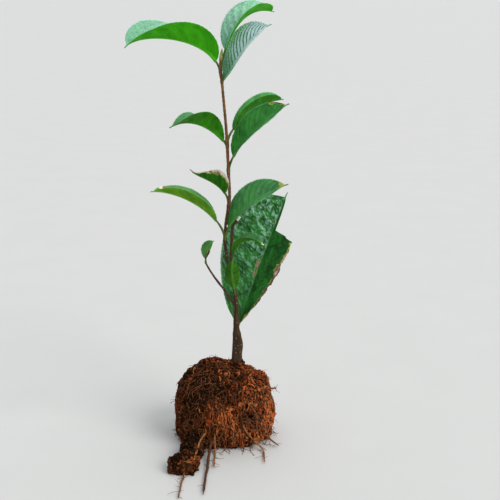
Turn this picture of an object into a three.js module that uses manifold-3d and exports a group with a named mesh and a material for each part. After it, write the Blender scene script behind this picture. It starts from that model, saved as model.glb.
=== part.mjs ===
// A young golden camellia lifted for planting: one stem with its leaves, on a bare root ball.
// Millimetres, +Z up. The origin is the middle of the root ball's flat underside.
// +X is to the right and +Y is away from someone who looks at the plant's front.

import * as THREE from "three";
import { mergeVertices } from "three/addons/utils/BufferGeometryUtils.js";
import Module from "manifold-3d";

const wasm = await Module();
wasm.setup();

// Clearance between pieces that touch on the plant.
const GAP = 0.3;

// Fineness: sides round a limb, and rows and strips of a blade, large and small.
const STEM_SIDES = 8;
const STEM_ROWS = 50;
const SHOOT_SIDES = 7;
const SHOOT_ROWS = 11;
const ROOT_SIDES = 6;
const ROOT_ROWS_A_POINT = 3;
const LARGE_LEAF = { from: 40, rows: 13, strips: 6 };
const SMALL_LEAF = { rows: 8, strips: 4 };
const PETIOLE_ROWS = 6;

// Root ball: a squarish block of soil with a flat underside and a small seat for the stem.
// roundness shapes its plan, shoulder and foot its upper and lower profile: lower is squarer.
// swellings push the soil out round a place, or in where push is below 0. reach is how wide.
const BALL = {
  middle: [-1.3, 0, 22],
  radii: [32, 29.3, 29],
  roundness: 0.7,
  shoulder: 0.8,
  foot: 0.5,
  relief: 1.3,
  seed: 2.2,
  columns: 40,
  rows: 26,
  swellings: [
    { at: [24, 0, 44], reach: 8, push: 3 },
    { at: [16, 8, 49], reach: 10, push: -5 },
    { at: [-27, -4, 42], reach: 11, push: 2 },
    { at: [29, -8, 10], reach: 13, push: 3.2 },
    { at: [-29, -10, 8], reach: 10, push: 1.5 },
    { at: [4, -27, 2], reach: 16, push: 1.5 },
    { at: [-1.5, -25, 40], reach: 6, push: -3 },
    { at: [15.4, -27, 22], reach: 5, push: -3 },
  ],
  seatHeight: 46,
  seatRadius: 5,
};

// Stem: its middle line as [x, z] with y = 0, from the flat cut on the ball up to the bud.
const STEM_LINE = [
  [7.7, 46.3],
  [7.4, 65],
  [7.2, 84],
  [7.2, 97],
  [3.9, 115],
  [1.9, 122.5],
  [0, 137],
  [0.6, 150],
  [2.6, 162.3],
  [3.2, 168],
  [2.4, 190],
  [1.4, 211],
  [-0.5, 234],
  [-1.5, 245.5],
  [-2.2, 250],
  [-2.2, 255.5],
];
// Its radius at a few heights: wide at the root flare, slim at the tip.
const STEM_RADII = [
  [46.3, 4.4],
  [50, 3.7],
  [60, 2.9],
  [78, 2.1],
  [97, 1.6],
  [122, 1.35],
  [166, 1.15],
  [255.5, 0.9],
];
const NODE_SWELLING = 0.3;
const NODE_LENGTH = 2.2;

// Terminal bud on top of the stem, with its outline as shares of its radius and length.
const BUD = {
  length: 9.5,
  radius: 0.95,
  lean: 7,
  clear: 0.4,
  outline: [
    [0, 0],
    [0.62, 0],
    [1, 0.3],
    [0.85, 0.6],
    [0.4, 0.88],
    [0, 1],
  ],
};

// Pruned side shoot: from the fork up the right side to its pale cut end.
const SHOOT = {
  line: [
    [4, 0, 116],
    [3.9, 0, 126],
    [4.5, 0, 139],
    [5.3, 0, 148.5],
    [7.4, 0, 151.6],
    [9.9, 0, 155],
  ],
  radii: [1.1, 0.95],
};

// Short twig on the left that carries one small leaf.
const TWIG = {
  line: [
    [7.2, 0, 92],
    [0, 1, 103],
    [-8, 1, 114],
    [-13, 0, 123],
  ],
  radii: [0.9, 0.6],
};

// Leaves. `at` is the height of the node on the stem, or `base` is a point of a side shoot.
// heading, lift and nod are degrees: the leaf's compass direction, its slope as it leaves the
// stem and its slope at the tip. reach and rise are millimetres from the node to the tip.
// hold and hang are the pull of those two slopes, as shares of the straight length.
// width, fold, curl, roll and twist shape the blade: fold raises both halves into a trough,
// curl flattens them towards the edge, roll tips the blade over, twist adds roll to the tip.
// fat is where the blade is widest, as a share of its length; skew moves that on each half.
// sway turns the petiole aside as it leaves, and uneven makes the left half the wider one.
// torn takes the right half away from a share of the length on, down to a strip of it.
const LEAVES = [
  { name: "leaf_top_left", at: 247, heading: 185, sway: -3, reach: 61, rise: 18, lift: 84,
    nod: -54, hold: 0.42, hang: 0.22, petiole: 10, width: 34, uneven: -0.1, fold: 43, curl: 10,
    roll: 47, twist: -74, fat: 0.49, skew: 0.08 },
  { name: "leaf_top_right_back", at: 250, heading: 21, reach: 37, rise: 37, lift: 81, nod: -16,
    hold: 0.45, hang: 0.41, petiole: 14, width: 25, fold: 37, curl: 8, roll: 14, twist: -11,
    fat: 0.61 },
  { name: "leaf_top_right_front", at: 244, heading: -27, sway: 9, reach: 35, rise: 36, lift: 47,
    nod: 23, hold: 0.37, hang: 0.46, petiole: 2, width: 32, uneven: 0.09, fold: 21, curl: 10,
    roll: 41, twist: 5, fat: 0.42 },
  { name: "leaf_upper_left", at: 203, heading: -139, sway: -9, reach: 46, rise: 15, lift: 48,
    nod: -22, hold: 0.36, hang: 0.35, petiole: 4, width: 23, uneven: 0.05, fold: 49, curl: 10,
    roll: 32, twist: -54, fat: 0.52, skew: -0.11 },
  { name: "leaf_upper_right_back", at: 205, heading: 34, sway: 6, reach: 45, rise: 25, lift: 65,
    nod: -1, hold: 0.32, hang: 0.32, petiole: 9, width: 19, fold: 52, curl: 10, roll: -17,
    twist: 18, fat: 0.58, skew: -0.06 },
  { name: "leaf_upper_right_front", at: 186, heading: -20, sway: -7, reach: 41, rise: 45,
    lift: 78, nod: 30, hold: 0.27, hang: 0.36, petiole: 10, width: 29, uneven: -0.13, fold: 33,
    curl: 10, roll: 42, fat: 0.48 },
  { name: "leaf_curled_left", at: 162, heading: 147, reach: 31, rise: 22, lift: 90, nod: 56,
    hold: 0.48, hang: 0.19, petiole: 9, width: 20, uneven: 0.22, fold: 50, curl: 10, roll: 36,
    fat: 0.27 },
  { name: "leaf_low_left", at: 140, heading: -168, reach: 49, rise: 34, lift: 81, nod: -4,
    hold: 0.31, hang: 0.3, petiole: 14, width: 20, fold: 46, curl: 10, roll: -13, twist: 24,
    fat: 0.48, skew: 0.03 },
  { name: "leaf_low_right", at: 139, heading: -21, reach: 44, rise: 41, lift: 86, nod: 23,
    hold: 0.26, hang: 0.39, petiole: 9, width: 29, uneven: 0.09, fold: 27, curl: 10, roll: 33,
    fat: 0.45 },
  { name: "leaf_small_right", base: [4.2, 0, 124], heading: -20, reach: 23, rise: 14, lift: 81,
    nod: -28, hold: 0.57, hang: 0.49, petiole: 6, width: 14, uneven: 0.04, fold: 34, curl: 10,
    roll: 3, fat: 0.48 },
  { name: "leaf_small_front", at: 98, heading: -109, reach: 6, rise: 29, lift: 79, nod: 115,
    hold: 0.37, hang: 0.43, petiole: 8, width: 11, uneven: 0.03, fold: 24, curl: 10, roll: 20,
    twist: -16, fat: 0.58 },
  { name: "leaf_large_scorched", at: 73, heading: 27, sway: 54, reach: 39, rise: 95, lift: 24,
    nod: 66, hold: 0.2, hang: 0.34, petiole: 8, width: 49, uneven: 0.23, fold: 24, curl: 8,
    roll: 29, twist: 17, fat: 0.64, skew: 0.02, torn: { from: 0.71, strip: 0.12 } },
  { name: "leaf_small_left", base: [-13, 0, 123], heading: -17, reach: 6, rise: 16, lift: 93,
    nod: 33, hold: 0.49, hang: 0.29, petiole: 3, width: 10, fold: 22, curl: 10, roll: 51,
    twist: 14, fat: 0.45 },
];

// Thickness of a blade as a share of its length, and at least this much. EDGE_WIDTH is the
// least half width of a blade, as a share of its thickness.
const LEAF_THICKNESS = 0.0115;
const LEAST_THICKNESS = 0.6;
const EDGE_WIDTH = 0.6;
// Petiole: its radius at the stem, on a narrow leaf too, its taper, and how far it runs on
// under the blade.
const PETIOLE = { radius: 0.9, narrowRadius: 0.6, narrowLeaf: 15, taper: 0.45, inBlade: 4 };
// Outline of a blade: how fast it widens from its base, and its narrow drip tip.
const BASE_POWER = 0.72;
const DRIP_TIP = { share: 0.042, width: 0.09, from: 0.8 };
// Values of a leaf that its entry leaves out.
const PLAIN_LEAF = { sway: 0, twist: 0, fat: 0.46, skew: 0, uneven: 0, torn: null };
// Half the length of the step where a blade is torn off, as a share of its length.
const TEAR_STEP = 0.01;

// Clod of soil that has come down in front of the ball, and the neck between them.
const CLOD = [
  {
    middle: [-26.3, -53, 0],
    radii: [9.3, 12, 8.8],
    roundness: 0.8,
    relief: 1.2,
    seed: 5.1,
    columns: 22,
    rows: 14,
    swellings: [
      { at: [-31, -60, 5], reach: 5, push: 1.4 },
      { at: [-31, -44, 6], reach: 5, push: -2 },
    ],
  },
  {
    middle: [-22, -37, 1],
    radii: [6.3, 12, 9.5],
    roundness: 0.8,
    relief: 0.9,
    seed: 7.4,
    columns: 20,
    rows: 12,
    swellings: [{ at: [-27, -42, 5], reach: 5, push: 1.2 }],
  },
];

// Bare roots: each runs out of the soil, or from the root that `from` names, and tapers.
const ROOTS = [
  { name: "root_front_gold", radii: [0.8, 0.5],
    line: [[-12.2, -25, 17], [-13.3, -28.3, 12.6], [-15.4, -31, 10.4], [-16.6, -37, 10.2],
      [-17.6, -43.6, 8.6], [-19, -49, 6.8], [-19.6, -56.9, 7], [-22.4, -61, 7.4],
      [-26.2, -60.6, 8.2]] },
  { name: "root_front_middle", radii: [0.7, 0.5],
    line: [[-6.4, -25, 17], [-6.8, -28.6, 13], [-7.2, -29, 7.3], [-6.8, -32, 2],
      [-6.6, -56.7, 1.3]] },
  { name: "root_front_dark", radii: [1.2, 0.8],
    line: [[-8.5, -23, 9], [-10, -33, 4.6], [-10.8, -51.8, 1.8], [-12, -91.4, 1.2]] },
  { name: "root_from_clod", radii: [0.8, 0.5],
    line: [[-25, -54, 5], [-25.4, -66, 1.8], [-26.4, -80, 1.1], [-27, -96, 1]] },
  { name: "root_right_gold", radii: [0.85, 0.55],
    line: [[3.2, -23.5, 39.5], [5.4, -27.4, 35], [8.6, -28.6, 29.6], [11.2, -28.9, 23],
      [12.3, -28.6, 17.8], [15, -27.9, 12.4], [18.6, -26.8, 7.2], [24.6, -29.4, 1.9],
      [26.4, -50, 1.2]] },
  { name: "root_right_side", from: "root_right_gold", radii: [0.6, 0.45],
    line: [[18.6, -26.8, 7.2], [22.8, -24, 6.6], [26.6, -19.6, 6.8]] },
  { name: "root_right_upper", radii: [0.7, 0.5],
    line: [[13, -23, 36.5], [14.8, -26.4, 33.4], [19.6, -26.2, 28], [21.3, -26, 22],
      [21, -26, 16.6], [22.4, -24.8, 11.2]] },
  { name: "root_right_corner", radii: [0.8, 0.5],
    line: [[24, -14, 8], [29, -20, 5.4], [36.6, -25, 1.3]] },
  { name: "root_right_stub", radii: [0.8, 0.6],
    line: [[23, -13, 36.5], [29, -13, 38], [35, -12, 38.2]] },
];

const COLOURS = {
  bark: { color: 0x5b3a2a, roughness: 0.75 },
  redBark: { color: 0x6a2f28, roughness: 0.7 },
  bud: { color: 0xb8a068, roughness: 0.6 },
  leaf: { color: 0x3f7a3a, roughness: 0.42 },
  soil: { color: 0x7a4630, roughness: 0.95 },
  root: { color: 0xb07a4a, roughness: 0.85 },
};

const rad = THREE.MathUtils.degToRad;

// Value of a list of [place, value] pairs at a place, by straight lines between them.
function between(pairs, place) {
  const last = pairs[pairs.length - 1];
  if (place <= pairs[0][0]) return pairs[0][1];
  if (place >= last[0]) return last[1];
  const i = pairs.findIndex((pair) => pair[0] > place);
  const [a, b] = [pairs[i - 1], pairs[i]];
  return THREE.MathUtils.lerp(a[1], b[1], (place - a[0]) / (b[0] - a[0]));
}

// Unit vector from a compass direction and a slope, both in degrees.
function direction(compass, slope) {
  const [c, s] = [rad(compass), rad(slope)];
  return new THREE.Vector3(
    Math.cos(c) * Math.cos(s),
    Math.sin(c) * Math.cos(s),
    Math.sin(s),
  );
}

// A three.js geometry with shared vertices, each moved by a function of its old place.
function shaped(geometry, move) {
  geometry.deleteAttribute("normal");
  geometry.deleteAttribute("uv");
  const merged = mergeVertices(geometry);
  const position = merged.getAttribute("position");
  const point = new THREE.Vector3();
  for (let i = 0; i < position.count; i++) {
    point.fromBufferAttribute(position, i);
    const moved = move(point.clone());
    position.setXYZ(i, moved.x, moved.y, moved.z);
  }
  return merged;
}

// Solid of a closed geometry, and the geometry of a solid.
function solid(geometry) {
  const triVerts = new Uint32Array(geometry.index.array);
  const vertProperties = new Float32Array(geometry.getAttribute("position").array);
  return new wasm.Manifold(new wasm.Mesh({ numProp: 3, vertProperties, triVerts }));
}

function geometryOf(body) {
  const mesh = body.getMesh();
  const geometry = new THREE.BufferGeometry();
  geometry.setAttribute("position", new THREE.BufferAttribute(mesh.vertProperties, 3));
  geometry.setIndex(new THREE.BufferAttribute(mesh.triVerts, 1));
  const flat = geometry.toNonIndexed();
  flat.computeVertexNormals();
  return flat;
}

// The largest body of a cut piece, without loose scraps.
function largest(body) {
  return body.decompose().reduce((a, b) => (b.volume() > a.volume() ? b : a));
}

// Tapering limb along a curve: a cylinder whose rows follow the curve. swell fattens it all
// round and lengthens both ends, for the room that a neighbour leaves free.
function limb(curve, radiusAt, sides, steps, swell = 0) {
  const frames = curve.computeFrenetFrames(steps, false);
  const cylinder = new THREE.CylinderGeometry(1, 1, steps, sides, steps);
  const points = curve.getSpacedPoints(steps);
  return shaped(cylinder, (p) => {
    const row = THREE.MathUtils.clamp(Math.round(p.y + steps / 2), 0, steps);
    const radius = radiusAt(row / steps, points[row]) + swell;
    const beyond = row === 0 ? -swell : row === steps ? swell : 0;
    return points[row]
      .clone()
      .addScaledVector(frames.tangents[row], beyond)
      .addScaledVector(frames.normals[row], p.z * radius)
      .addScaledVector(frames.binormals[row], p.x * radius);
  });
}

function curveThrough(points) {
  const places = points.map((p) => new THREE.Vector3(...p));
  return new THREE.CatmullRomCurve3(places, false, "centripetal");
}

// Half width of a blade at share t of its length.
function halfWidth(t, width, fat) {
  const fall = (BASE_POWER * (1 - fat)) / fat;
  const s = Math.min(t / (1 - DRIP_TIP.share), 1);
  const main = s ** BASE_POWER * (1 - s) ** fall;
  const peak = fat ** BASE_POWER * (1 - fat) ** fall;
  const toTip = (1 - t) / (1 - DRIP_TIP.from);
  const tip = t > 0.5 ? DRIP_TIP.width * Math.min(toTip, 1) ** DRIP_TIP.from : 0;
  return (width / 2) * Math.max(main / peak, tip);
}

// Place of a node on the stem's middle line.
function onStem(height) {
  const line = STEM_LINE.map(([x, z]) => [z, x]);
  return new THREE.Vector3(between(line, height), 0, height);
}

// Middle line of a leaf from its node to its tip.
function midrib(leaf) {
  const base = leaf.base ? new THREE.Vector3(...leaf.base) : onStem(leaf.at);
  const tip = base.clone().addScaledVector(direction(leaf.heading, 0), leaf.reach);
  tip.z += leaf.rise;
  const chord = base.distanceTo(tip);
  const leaving = direction(leaf.heading + leaf.sway, leaf.lift).multiplyScalar(leaf.hold * chord);
  const ending = direction(leaf.heading, leaf.nod).multiplyScalar(-leaf.hang * chord);
  return new THREE.CubicBezierCurve3(base, base.clone().add(leaving), tip.clone().add(ending), tip);
}

// Place of a blade's row as a share of its length: two rows move to the two sides of a tear.
function rowShare(row, rows, torn) {
  const before = torn ? Math.floor(torn.from * rows) : rows;
  if (row === before && torn) return torn.from - TEAR_STEP;
  if (row === before + 1) return torn.from + TEAR_STEP;
  return row / rows;
}

// Blade of a leaf: a thin box bent along the midrib, folded, curled and rolled.
function blade(leaf, line) {
  const length = line.getLength();
  const thick = Math.max(LEAF_THICKNESS * length, LEAST_THICKNESS);
  const { rows, strips } = length > LARGE_LEAF.from ? LARGE_LEAF : SMALL_LEAF;
  const side = direction(leaf.heading + 90, 0);
  const bentBox = new THREE.BoxGeometry(1, 2, 1, rows, strips, 1);
  return shaped(bentBox, (p) => {
    const t = rowShare(Math.round((p.x + 0.5) * rows), rows, leaf.torn);
    const u = Math.abs(p.y);
    const sign = Math.sign(p.y);
    const strip = leaf.torn && sign < 0 && t > leaf.torn.from ? leaf.torn.strip : 1;
    const place = (leaf.petiole + t * (length - leaf.petiole)) / length;
    const tangent = line.getTangentAt(place);
    const roll = rad(leaf.roll + leaf.twist * t);
    const flatSide = side.clone().addScaledVector(tangent, -side.dot(tangent)).normalize();
    const flatUp = tangent.clone().cross(flatSide);
    const across = flatSide.clone().applyAxisAngle(tangent, roll);
    const up = flatUp.clone().applyAxisAngle(tangent, roll);
    const width = leaf.width * (1 + sign * leaf.uneven) * strip;
    const half = Math.max(halfWidth(t, width, leaf.fat - sign * leaf.skew), thick * EDGE_WIDTH);
    const [from, to] = [rad(leaf.fold), rad(leaf.fold - leaf.curl * u)];
    const bend = rad(leaf.curl);
    const out = (Math.sin(from) - Math.sin(to)) / bend;
    const rise = (Math.cos(to) - Math.cos(from)) / bend;
    const point = line
      .getPointAt(place)
      .addScaledVector(across, sign * half * out)
      .addScaledVector(up, half * rise);
    const normal =
      u === 0
        ? up.clone().divideScalar(Math.cos(from))
        : across.clone().multiplyScalar(-sign * Math.sin(to)).addScaledVector(up, Math.cos(to));
    return point.addScaledVector(normal, p.z * thick);
  });
}

// Whole leaf: blade and petiole as one body, cut clear of the limb that carries it.
function leafSolid(entry, carrier) {
  const leaf = { ...PLAIN_LEAF, ...entry };
  const line = midrib(leaf);
  const end = (leaf.petiole + PETIOLE.inBlade) / line.getLength();
  const shares = Array.from({ length: PETIOLE_ROWS + 1 }, (_, i) => (end * i) / PETIOLE_ROWS);
  const stalk = new THREE.CatmullRomCurve3(shares.map((share) => line.getPointAt(share)));
  const thick = leaf.width < PETIOLE.narrowLeaf ? PETIOLE.narrowRadius : PETIOLE.radius;
  const radius = (share) => thick * (1 - PETIOLE.taper * share);
  const petiole = limb(stalk, radius, ROOT_SIDES, PETIOLE_ROWS);
  return largest(solid(blade(leaf, line)).add(solid(petiole)).subtract(carrier));
}

// Height of the soil's relief in a direction from the middle of a lump, from -1 to 1.
function crumble(p, seed) {
  const wave = (scale, shift) =>
    Math.sin(p.x * scale + seed + shift) *
    Math.sin(p.y * scale * 1.13 + seed * 1.7 - shift) *
    Math.sin(p.z * scale * 0.91 + seed * 0.6 + shift * 2);
  return 0.55 * wave(3.1, 0.4) + 0.5 * wave(6.7, 1.9) + 0.4 * wave(12.3, 3.2);
}

// Distance from the middle of a rounded block to its surface in a direction. Its plan and its
// profile are ovals whose roundness runs from 1, an ellipse, down towards 0, a square.
function blockReach(toward, size, profile) {
  const [x, y, z] = toward.toArray().map((part, axis) => Math.abs(part) / size.radii[axis]);
  const plan = x ** (2 / size.roundness) + y ** (2 / size.roundness);
  return (plan ** (size.roundness / profile) + z ** (2 / profile)) ** (-profile / 2);
}

// Lump of soil: a sphere pushed out to a rounded block with relief, cut flat at the floor.
function lump(size, swell = 0) {
  const { columns, rows, roundness, relief, seed, swellings } = size;
  const { shoulder = roundness, foot = roundness } = size;
  const upright = new THREE.SphereGeometry(1, columns, rows).rotateX(Math.PI / 2);
  const middle = new THREE.Vector3(...size.middle);
  const block = shaped(upright, (toward) => {
    const profile = toward.z > 0 ? shoulder : foot;
    const smooth = blockReach(toward, size, profile);
    const place = toward.clone().multiplyScalar(smooth).add(middle);
    const pushes = swellings.map(({ at, reach, push }) => {
      const away = place.distanceTo(new THREE.Vector3(...at)) / reach;
      return push * Math.exp(-(away ** 2));
    });
    const pushed = pushes.reduce((sum, push) => sum + push, relief * crumble(toward, seed));
    return toward.clone().multiplyScalar(smooth + pushed + swell).add(middle);
  });
  return solid(block).subtract(belowFloor);
}

// Everything under the level that the plant stands on.
const belowFloor = solid(
  shaped(new THREE.BoxGeometry(400, 400, 100), (p) => p.add(new THREE.Vector3(0, 0, -50))),
);

// Tapering limb of a size entry with a line and two radii, with swell added all round.
function taper(entry, sides, steps, swell = 0) {
  const [from, to] = entry.radii;
  const radius = (share) => THREE.MathUtils.lerp(from, to, share);
  return solid(limb(curveThrough(entry.line), radius, sides, steps, swell));
}

// Stem with a swelling at each leaf's node.
function stemSolid(swell) {
  const nodes = LEAVES.filter((leaf) => leaf.at).map((leaf) => leaf.at);
  const radius = (share, point) => {
    const swellings = nodes.map((at) => Math.exp(-(((point.z - at) / NODE_LENGTH) ** 2)));
    return between(STEM_RADII, point.z) + NODE_SWELLING * Math.max(...swellings);
  };
  const line = curveThrough(STEM_LINE.map(([x, z]) => [x, 0, z]));
  return solid(limb(line, radius, STEM_SIDES, STEM_ROWS, swell));
}

// Bud: a slim spindle that leans a little, above the stem's end.
function budSolid(swell) {
  const [x, z] = STEM_LINE[STEM_LINE.length - 1];
  const profile = BUD.outline.map(
    ([across, along]) =>
      new THREE.Vector2(across * (BUD.radius + swell), along * (BUD.length + 2 * swell) - swell),
  );
  const upright = new THREE.LatheGeometry(profile, STEM_SIDES);
  const leaning = shaped(upright, (p) =>
    new THREE.Vector3(p.x, -p.z, p.y)
      .applyAxisAngle(new THREE.Vector3(0, 1, 0), rad(BUD.lean))
      .add(new THREE.Vector3(x, 0, z + BUD.clear)),
  );
  return solid(leaning);
}

// Side limb that grows from the stem.
function sideLimb(entry, swell = 0) {
  return taper(entry, SHOOT_SIDES, SHOOT_ROWS, swell);
}

function rootSolid(root, swell = 0) {
  return taper(root, ROOT_SIDES, ROOT_ROWS_A_POINT * root.line.length, swell);
}

// Round hole with a flat bottom, in which the stem stands on the ball.
function stemSeat() {
  const depth = 20;
  const sides = 24;
  const drum = new THREE.CylinderGeometry(BALL.seatRadius, BALL.seatRadius, depth, sides);
  const middle = new THREE.Vector3(STEM_LINE[0][0], 0, BALL.seatHeight + depth / 2);
  return solid(shaped(drum, (p) => new THREE.Vector3(p.x, -p.z, p.y).add(middle)));
}

const plant = new THREE.Group();

function add(name, body, colour) {
  const material = new THREE.MeshStandardMaterial({ ...COLOURS[colour], metalness: 0 });
  const mesh = new THREE.Mesh(geometryOf(body), material);
  mesh.name = name;
  plant.add(mesh);
}

// Stem, bud and the two side limbs.
const stemRoom = stemSolid(GAP);
add("stem", stemSolid(0), "bark");
add("terminal_bud", budSolid(0), "bud");
add("cut_shoot", largest(sideLimb(SHOOT).subtract(stemRoom)), "redBark");
add("left_twig", largest(sideLimb(TWIG).subtract(stemRoom)), "redBark");

// Leaves, each cut clear of the limb that carries it.
const woodRoom = [sideLimb(SHOOT, GAP), sideLimb(TWIG, GAP), budSolid(GAP)].reduce(
  (all, room) => all.add(room),
  stemRoom,
);
for (const leaf of LEAVES) add(leaf.name, leafSolid(leaf, woodRoom), "leaf");

// Roots, each in a groove of the soil.
const rootRooms = new Map(ROOTS.map((root) => [root.name, rootSolid(root, GAP)]));
for (const root of ROOTS) {
  const whole = rootSolid(root);
  const carrier = rootRooms.get(root.from);
  add(root.name, carrier ? largest(whole.subtract(carrier)) : whole, "root");
}
const grooves = [...rootRooms.values()].reduce((all, room) => all.add(room));

// Soil: the ball with its seat, and the clod that lies against it.
add("root_ball", largest(lump(BALL).subtract(stemSeat()).subtract(grooves)), "soil");
const fallen = CLOD.map((size) => lump(size)).reduce((all, one) => all.add(one));
add("soil_clod", largest(fallen.subtract(lump(BALL, GAP)).subtract(grooves)), "soil");

export default plant;
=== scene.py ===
# %% [markdown]
# # A golden camellia seedling, lifted with its ball of soil
# The plant is one or two years old: a thin stem, thirteen leaves and a bare root ball.
# Its solids come in as a fixed frame that is never moved. Every piece below is grown again
# at the same place by the rule that made the solid, only finer, and then gets its finish.

# %% load the solids
import math

import bpy
import numpy as np
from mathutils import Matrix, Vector


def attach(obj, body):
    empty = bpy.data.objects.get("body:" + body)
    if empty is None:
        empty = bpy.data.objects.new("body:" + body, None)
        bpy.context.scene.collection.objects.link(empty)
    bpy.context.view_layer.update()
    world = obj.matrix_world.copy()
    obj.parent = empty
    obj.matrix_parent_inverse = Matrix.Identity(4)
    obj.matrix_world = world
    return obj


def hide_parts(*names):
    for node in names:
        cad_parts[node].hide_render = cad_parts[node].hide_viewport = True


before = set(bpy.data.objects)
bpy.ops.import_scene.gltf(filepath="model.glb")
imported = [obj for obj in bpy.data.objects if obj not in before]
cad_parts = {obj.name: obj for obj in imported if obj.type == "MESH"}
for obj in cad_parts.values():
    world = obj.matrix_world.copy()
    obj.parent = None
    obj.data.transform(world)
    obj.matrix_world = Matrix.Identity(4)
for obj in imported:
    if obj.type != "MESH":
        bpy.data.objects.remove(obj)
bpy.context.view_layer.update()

# A grower measures in millimetres and Blender in metres.
MM = 0.001

# %% [markdown]
# ## Meshes from arrays
# Leaves, bark and soil are all sheets or rings of points, so arrays make them quickly. One
# helper gives the triangles of a grid, one those of a thin closed sheet such as a leaf or a
# bud scale, and one turns points and triangles into a piece.


# %% triangles of a grid
def grid_faces(rows, columns, start=0, ring=False):
    """Triangles between rows of points; a ring's last column meets its first."""
    across = columns if ring else columns - 1
    row, column = np.meshgrid(np.arange(rows - 1), np.arange(across), indexing="ij")
    beside = (column + 1) % columns
    a, b = start + row * columns + column, start + row * columns + beside
    c, d = b + columns, a + columns
    return np.concatenate([np.stack([a, b, c], -1), np.stack([a, c, d], -1)]).reshape(-1, 3)


# %% triangles of a closed sheet
def closed_sheet(rows, columns):
    """Triangles of two grids back to back: those of the first, then the second and the rim."""
    count = rows * columns
    index = np.arange(count).reshape(rows, columns)
    rim = np.r_[index[0], index[1:, -1], index[-1, -2::-1], index[-2:0:-1, 0]]
    after = np.roll(rim, -1)
    back, back_after = rim + count, after + count
    wall = [np.stack([rim, back, back_after], 1), np.stack([rim, back_after, after], 1)]
    second = grid_faces(rows, columns, count)[:, ::-1]
    return grid_faces(rows, columns), np.concatenate([second, *wall])


# %% a piece of the plant
def plant_piece(name, points, faces, finishes, finish_of=0, marks=None):
    """Object from points in millimetres and triangles, which rides with the plant."""
    mesh = bpy.data.meshes.new(name)
    mesh.vertices.add(len(points))
    mesh.vertices.foreach_set("co", (np.asarray(points) * MM).astype(np.float32).ravel())
    mesh.loops.add(faces.size)
    mesh.loops.foreach_set("vertex_index", faces.astype(np.int32).ravel())
    mesh.polygons.add(len(faces))
    mesh.polygons.foreach_set("loop_start", np.arange(0, faces.size, 3, dtype=np.int32))
    for finish in finishes:
        mesh.materials.append(finish)
    chosen = np.broadcast_to(finish_of, len(faces)).astype(np.int32)
    mesh.polygons.foreach_set("material_index", chosen)
    mesh.polygons.foreach_set("use_smooth", np.ones(len(faces), bool))
    for mark, values in (marks or {}).items():
        layer = mesh.attributes.new(mark, "FLOAT", "POINT")
        layer.data.foreach_set("value", np.asarray(values, np.float32).ravel())
    mesh.update(calc_edges=True)
    piece = bpy.data.objects.new(name, mesh)
    bpy.context.scene.collection.objects.link(piece)
    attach(piece, "root")
    print(name, len(faces), "triangles")
    return piece


# %% joining loose bodies into one list
def joined(parts):
    """Points and triangles of many small closed bodies as one mesh, with each face's part."""
    counts = np.cumsum([0] + [len(points) for points, _ in parts])
    faces = [f + start for (_, f), start in zip(parts, counts)]
    owner = np.concatenate([np.full(len(f), i) for i, f in enumerate(faces)])
    return np.concatenate([p for p, _ in parts]), np.concatenate(faces), owner


# %% [markdown]
# ## Unevenness
# Nothing on a plant is even. Two kinds of seeded noise do for all of it: soft bumps for
# bark, leaf and the humps of the ball, and pebbles for the grain of its soil.


# %% soft bumps
NOISE_TABLE = 32


def bumps(points, size, seed):
    """Soft random height from -1 to 1 at each point, with bumps `size` millimetres wide."""
    table = np.random.default_rng(seed).uniform(-1, 1, (NOISE_TABLE,) * 3)
    place = np.asarray(points, float) / size
    cell = np.floor(place).astype(int)
    part = place - cell
    part = part * part * (3 - 2 * part)
    total = np.zeros(place.shape[:-1])
    for corner in np.ndindex(2, 2, 2):
        weight = np.prod(np.where(corner, part, 1 - part), axis=-1)
        i, j, k = np.moveaxis((cell + corner) % NOISE_TABLE, -1, 0)
        total += weight * table[i, j, k]
    return total


# %% pebbles
def pebbles(points, size, seed):
    """Height of a heap of round grains, from 0 between them to 1 on top of each."""
    table = np.random.default_rng(seed).uniform(0, 1, (NOISE_TABLE,) * 3 + (3,))
    place = np.asarray(points, float) / size
    cell = np.floor(place).astype(int)
    nearest = np.full(len(place), 9.0)
    for step in np.ndindex(3, 3, 3):
        at = cell + np.array(step) - 1
        i, j, k = (at % NOISE_TABLE).T
        nearest = np.minimum(nearest, np.sum((at + table[i, j, k] - place) ** 2, -1))
    return np.clip(1 - nearest, 0, 1)


def ease(value, low, high):
    """0 below low, 1 above high, and a soft step between them."""
    share = np.clip((value - low) / (high - low), 0, 1)
    return share * share * (3 - 2 * share)


# %% [markdown]
# ## Finishes
# Each finish is a small tree of nodes round one Principled shader. Patterns lie in the
# object's own space, in metres, so that they have the same grain on every piece.


# %% helpers for node trees
def new_finish(name, **constants):
    """Empty material with its shader, whose plain numbers are set on its own sockets."""
    finish = bpy.data.materials.new(name)
    finish.use_nodes = True
    shader = finish.node_tree.nodes["Principled BSDF"]
    for socket, value in constants.items():
        shader.inputs[socket.replace("_", " ")].default_value = value
    return finish, finish.node_tree, shader


def add(tree, kind, sockets=None, **settings):
    """Shader node with its settings, and with each socket linked or set."""
    made = tree.nodes.new("ShaderNode" + kind)
    for key, value in settings.items():
        setattr(made, key, value)
    for key, value in (sockets or {}).items():
        if isinstance(value, bpy.types.NodeSocket):
            tree.links.new(value, made.inputs[key])
        else:
            made.inputs[key].default_value = value
    return made


def pattern(tree, kind, grain, **settings):
    """Noise or Voronoi texture whose cells are about `grain` millimetres wide."""
    where = add(tree, "TexCoord").outputs["Object"]
    sockets = {"Vector": where, "Scale": 1 / (grain * MM)}
    detail = settings.pop("detail", None)
    if detail is not None:
        sockets["Detail"] = detail
    return add(tree, "Tex" + kind, sockets, **settings)


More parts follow.
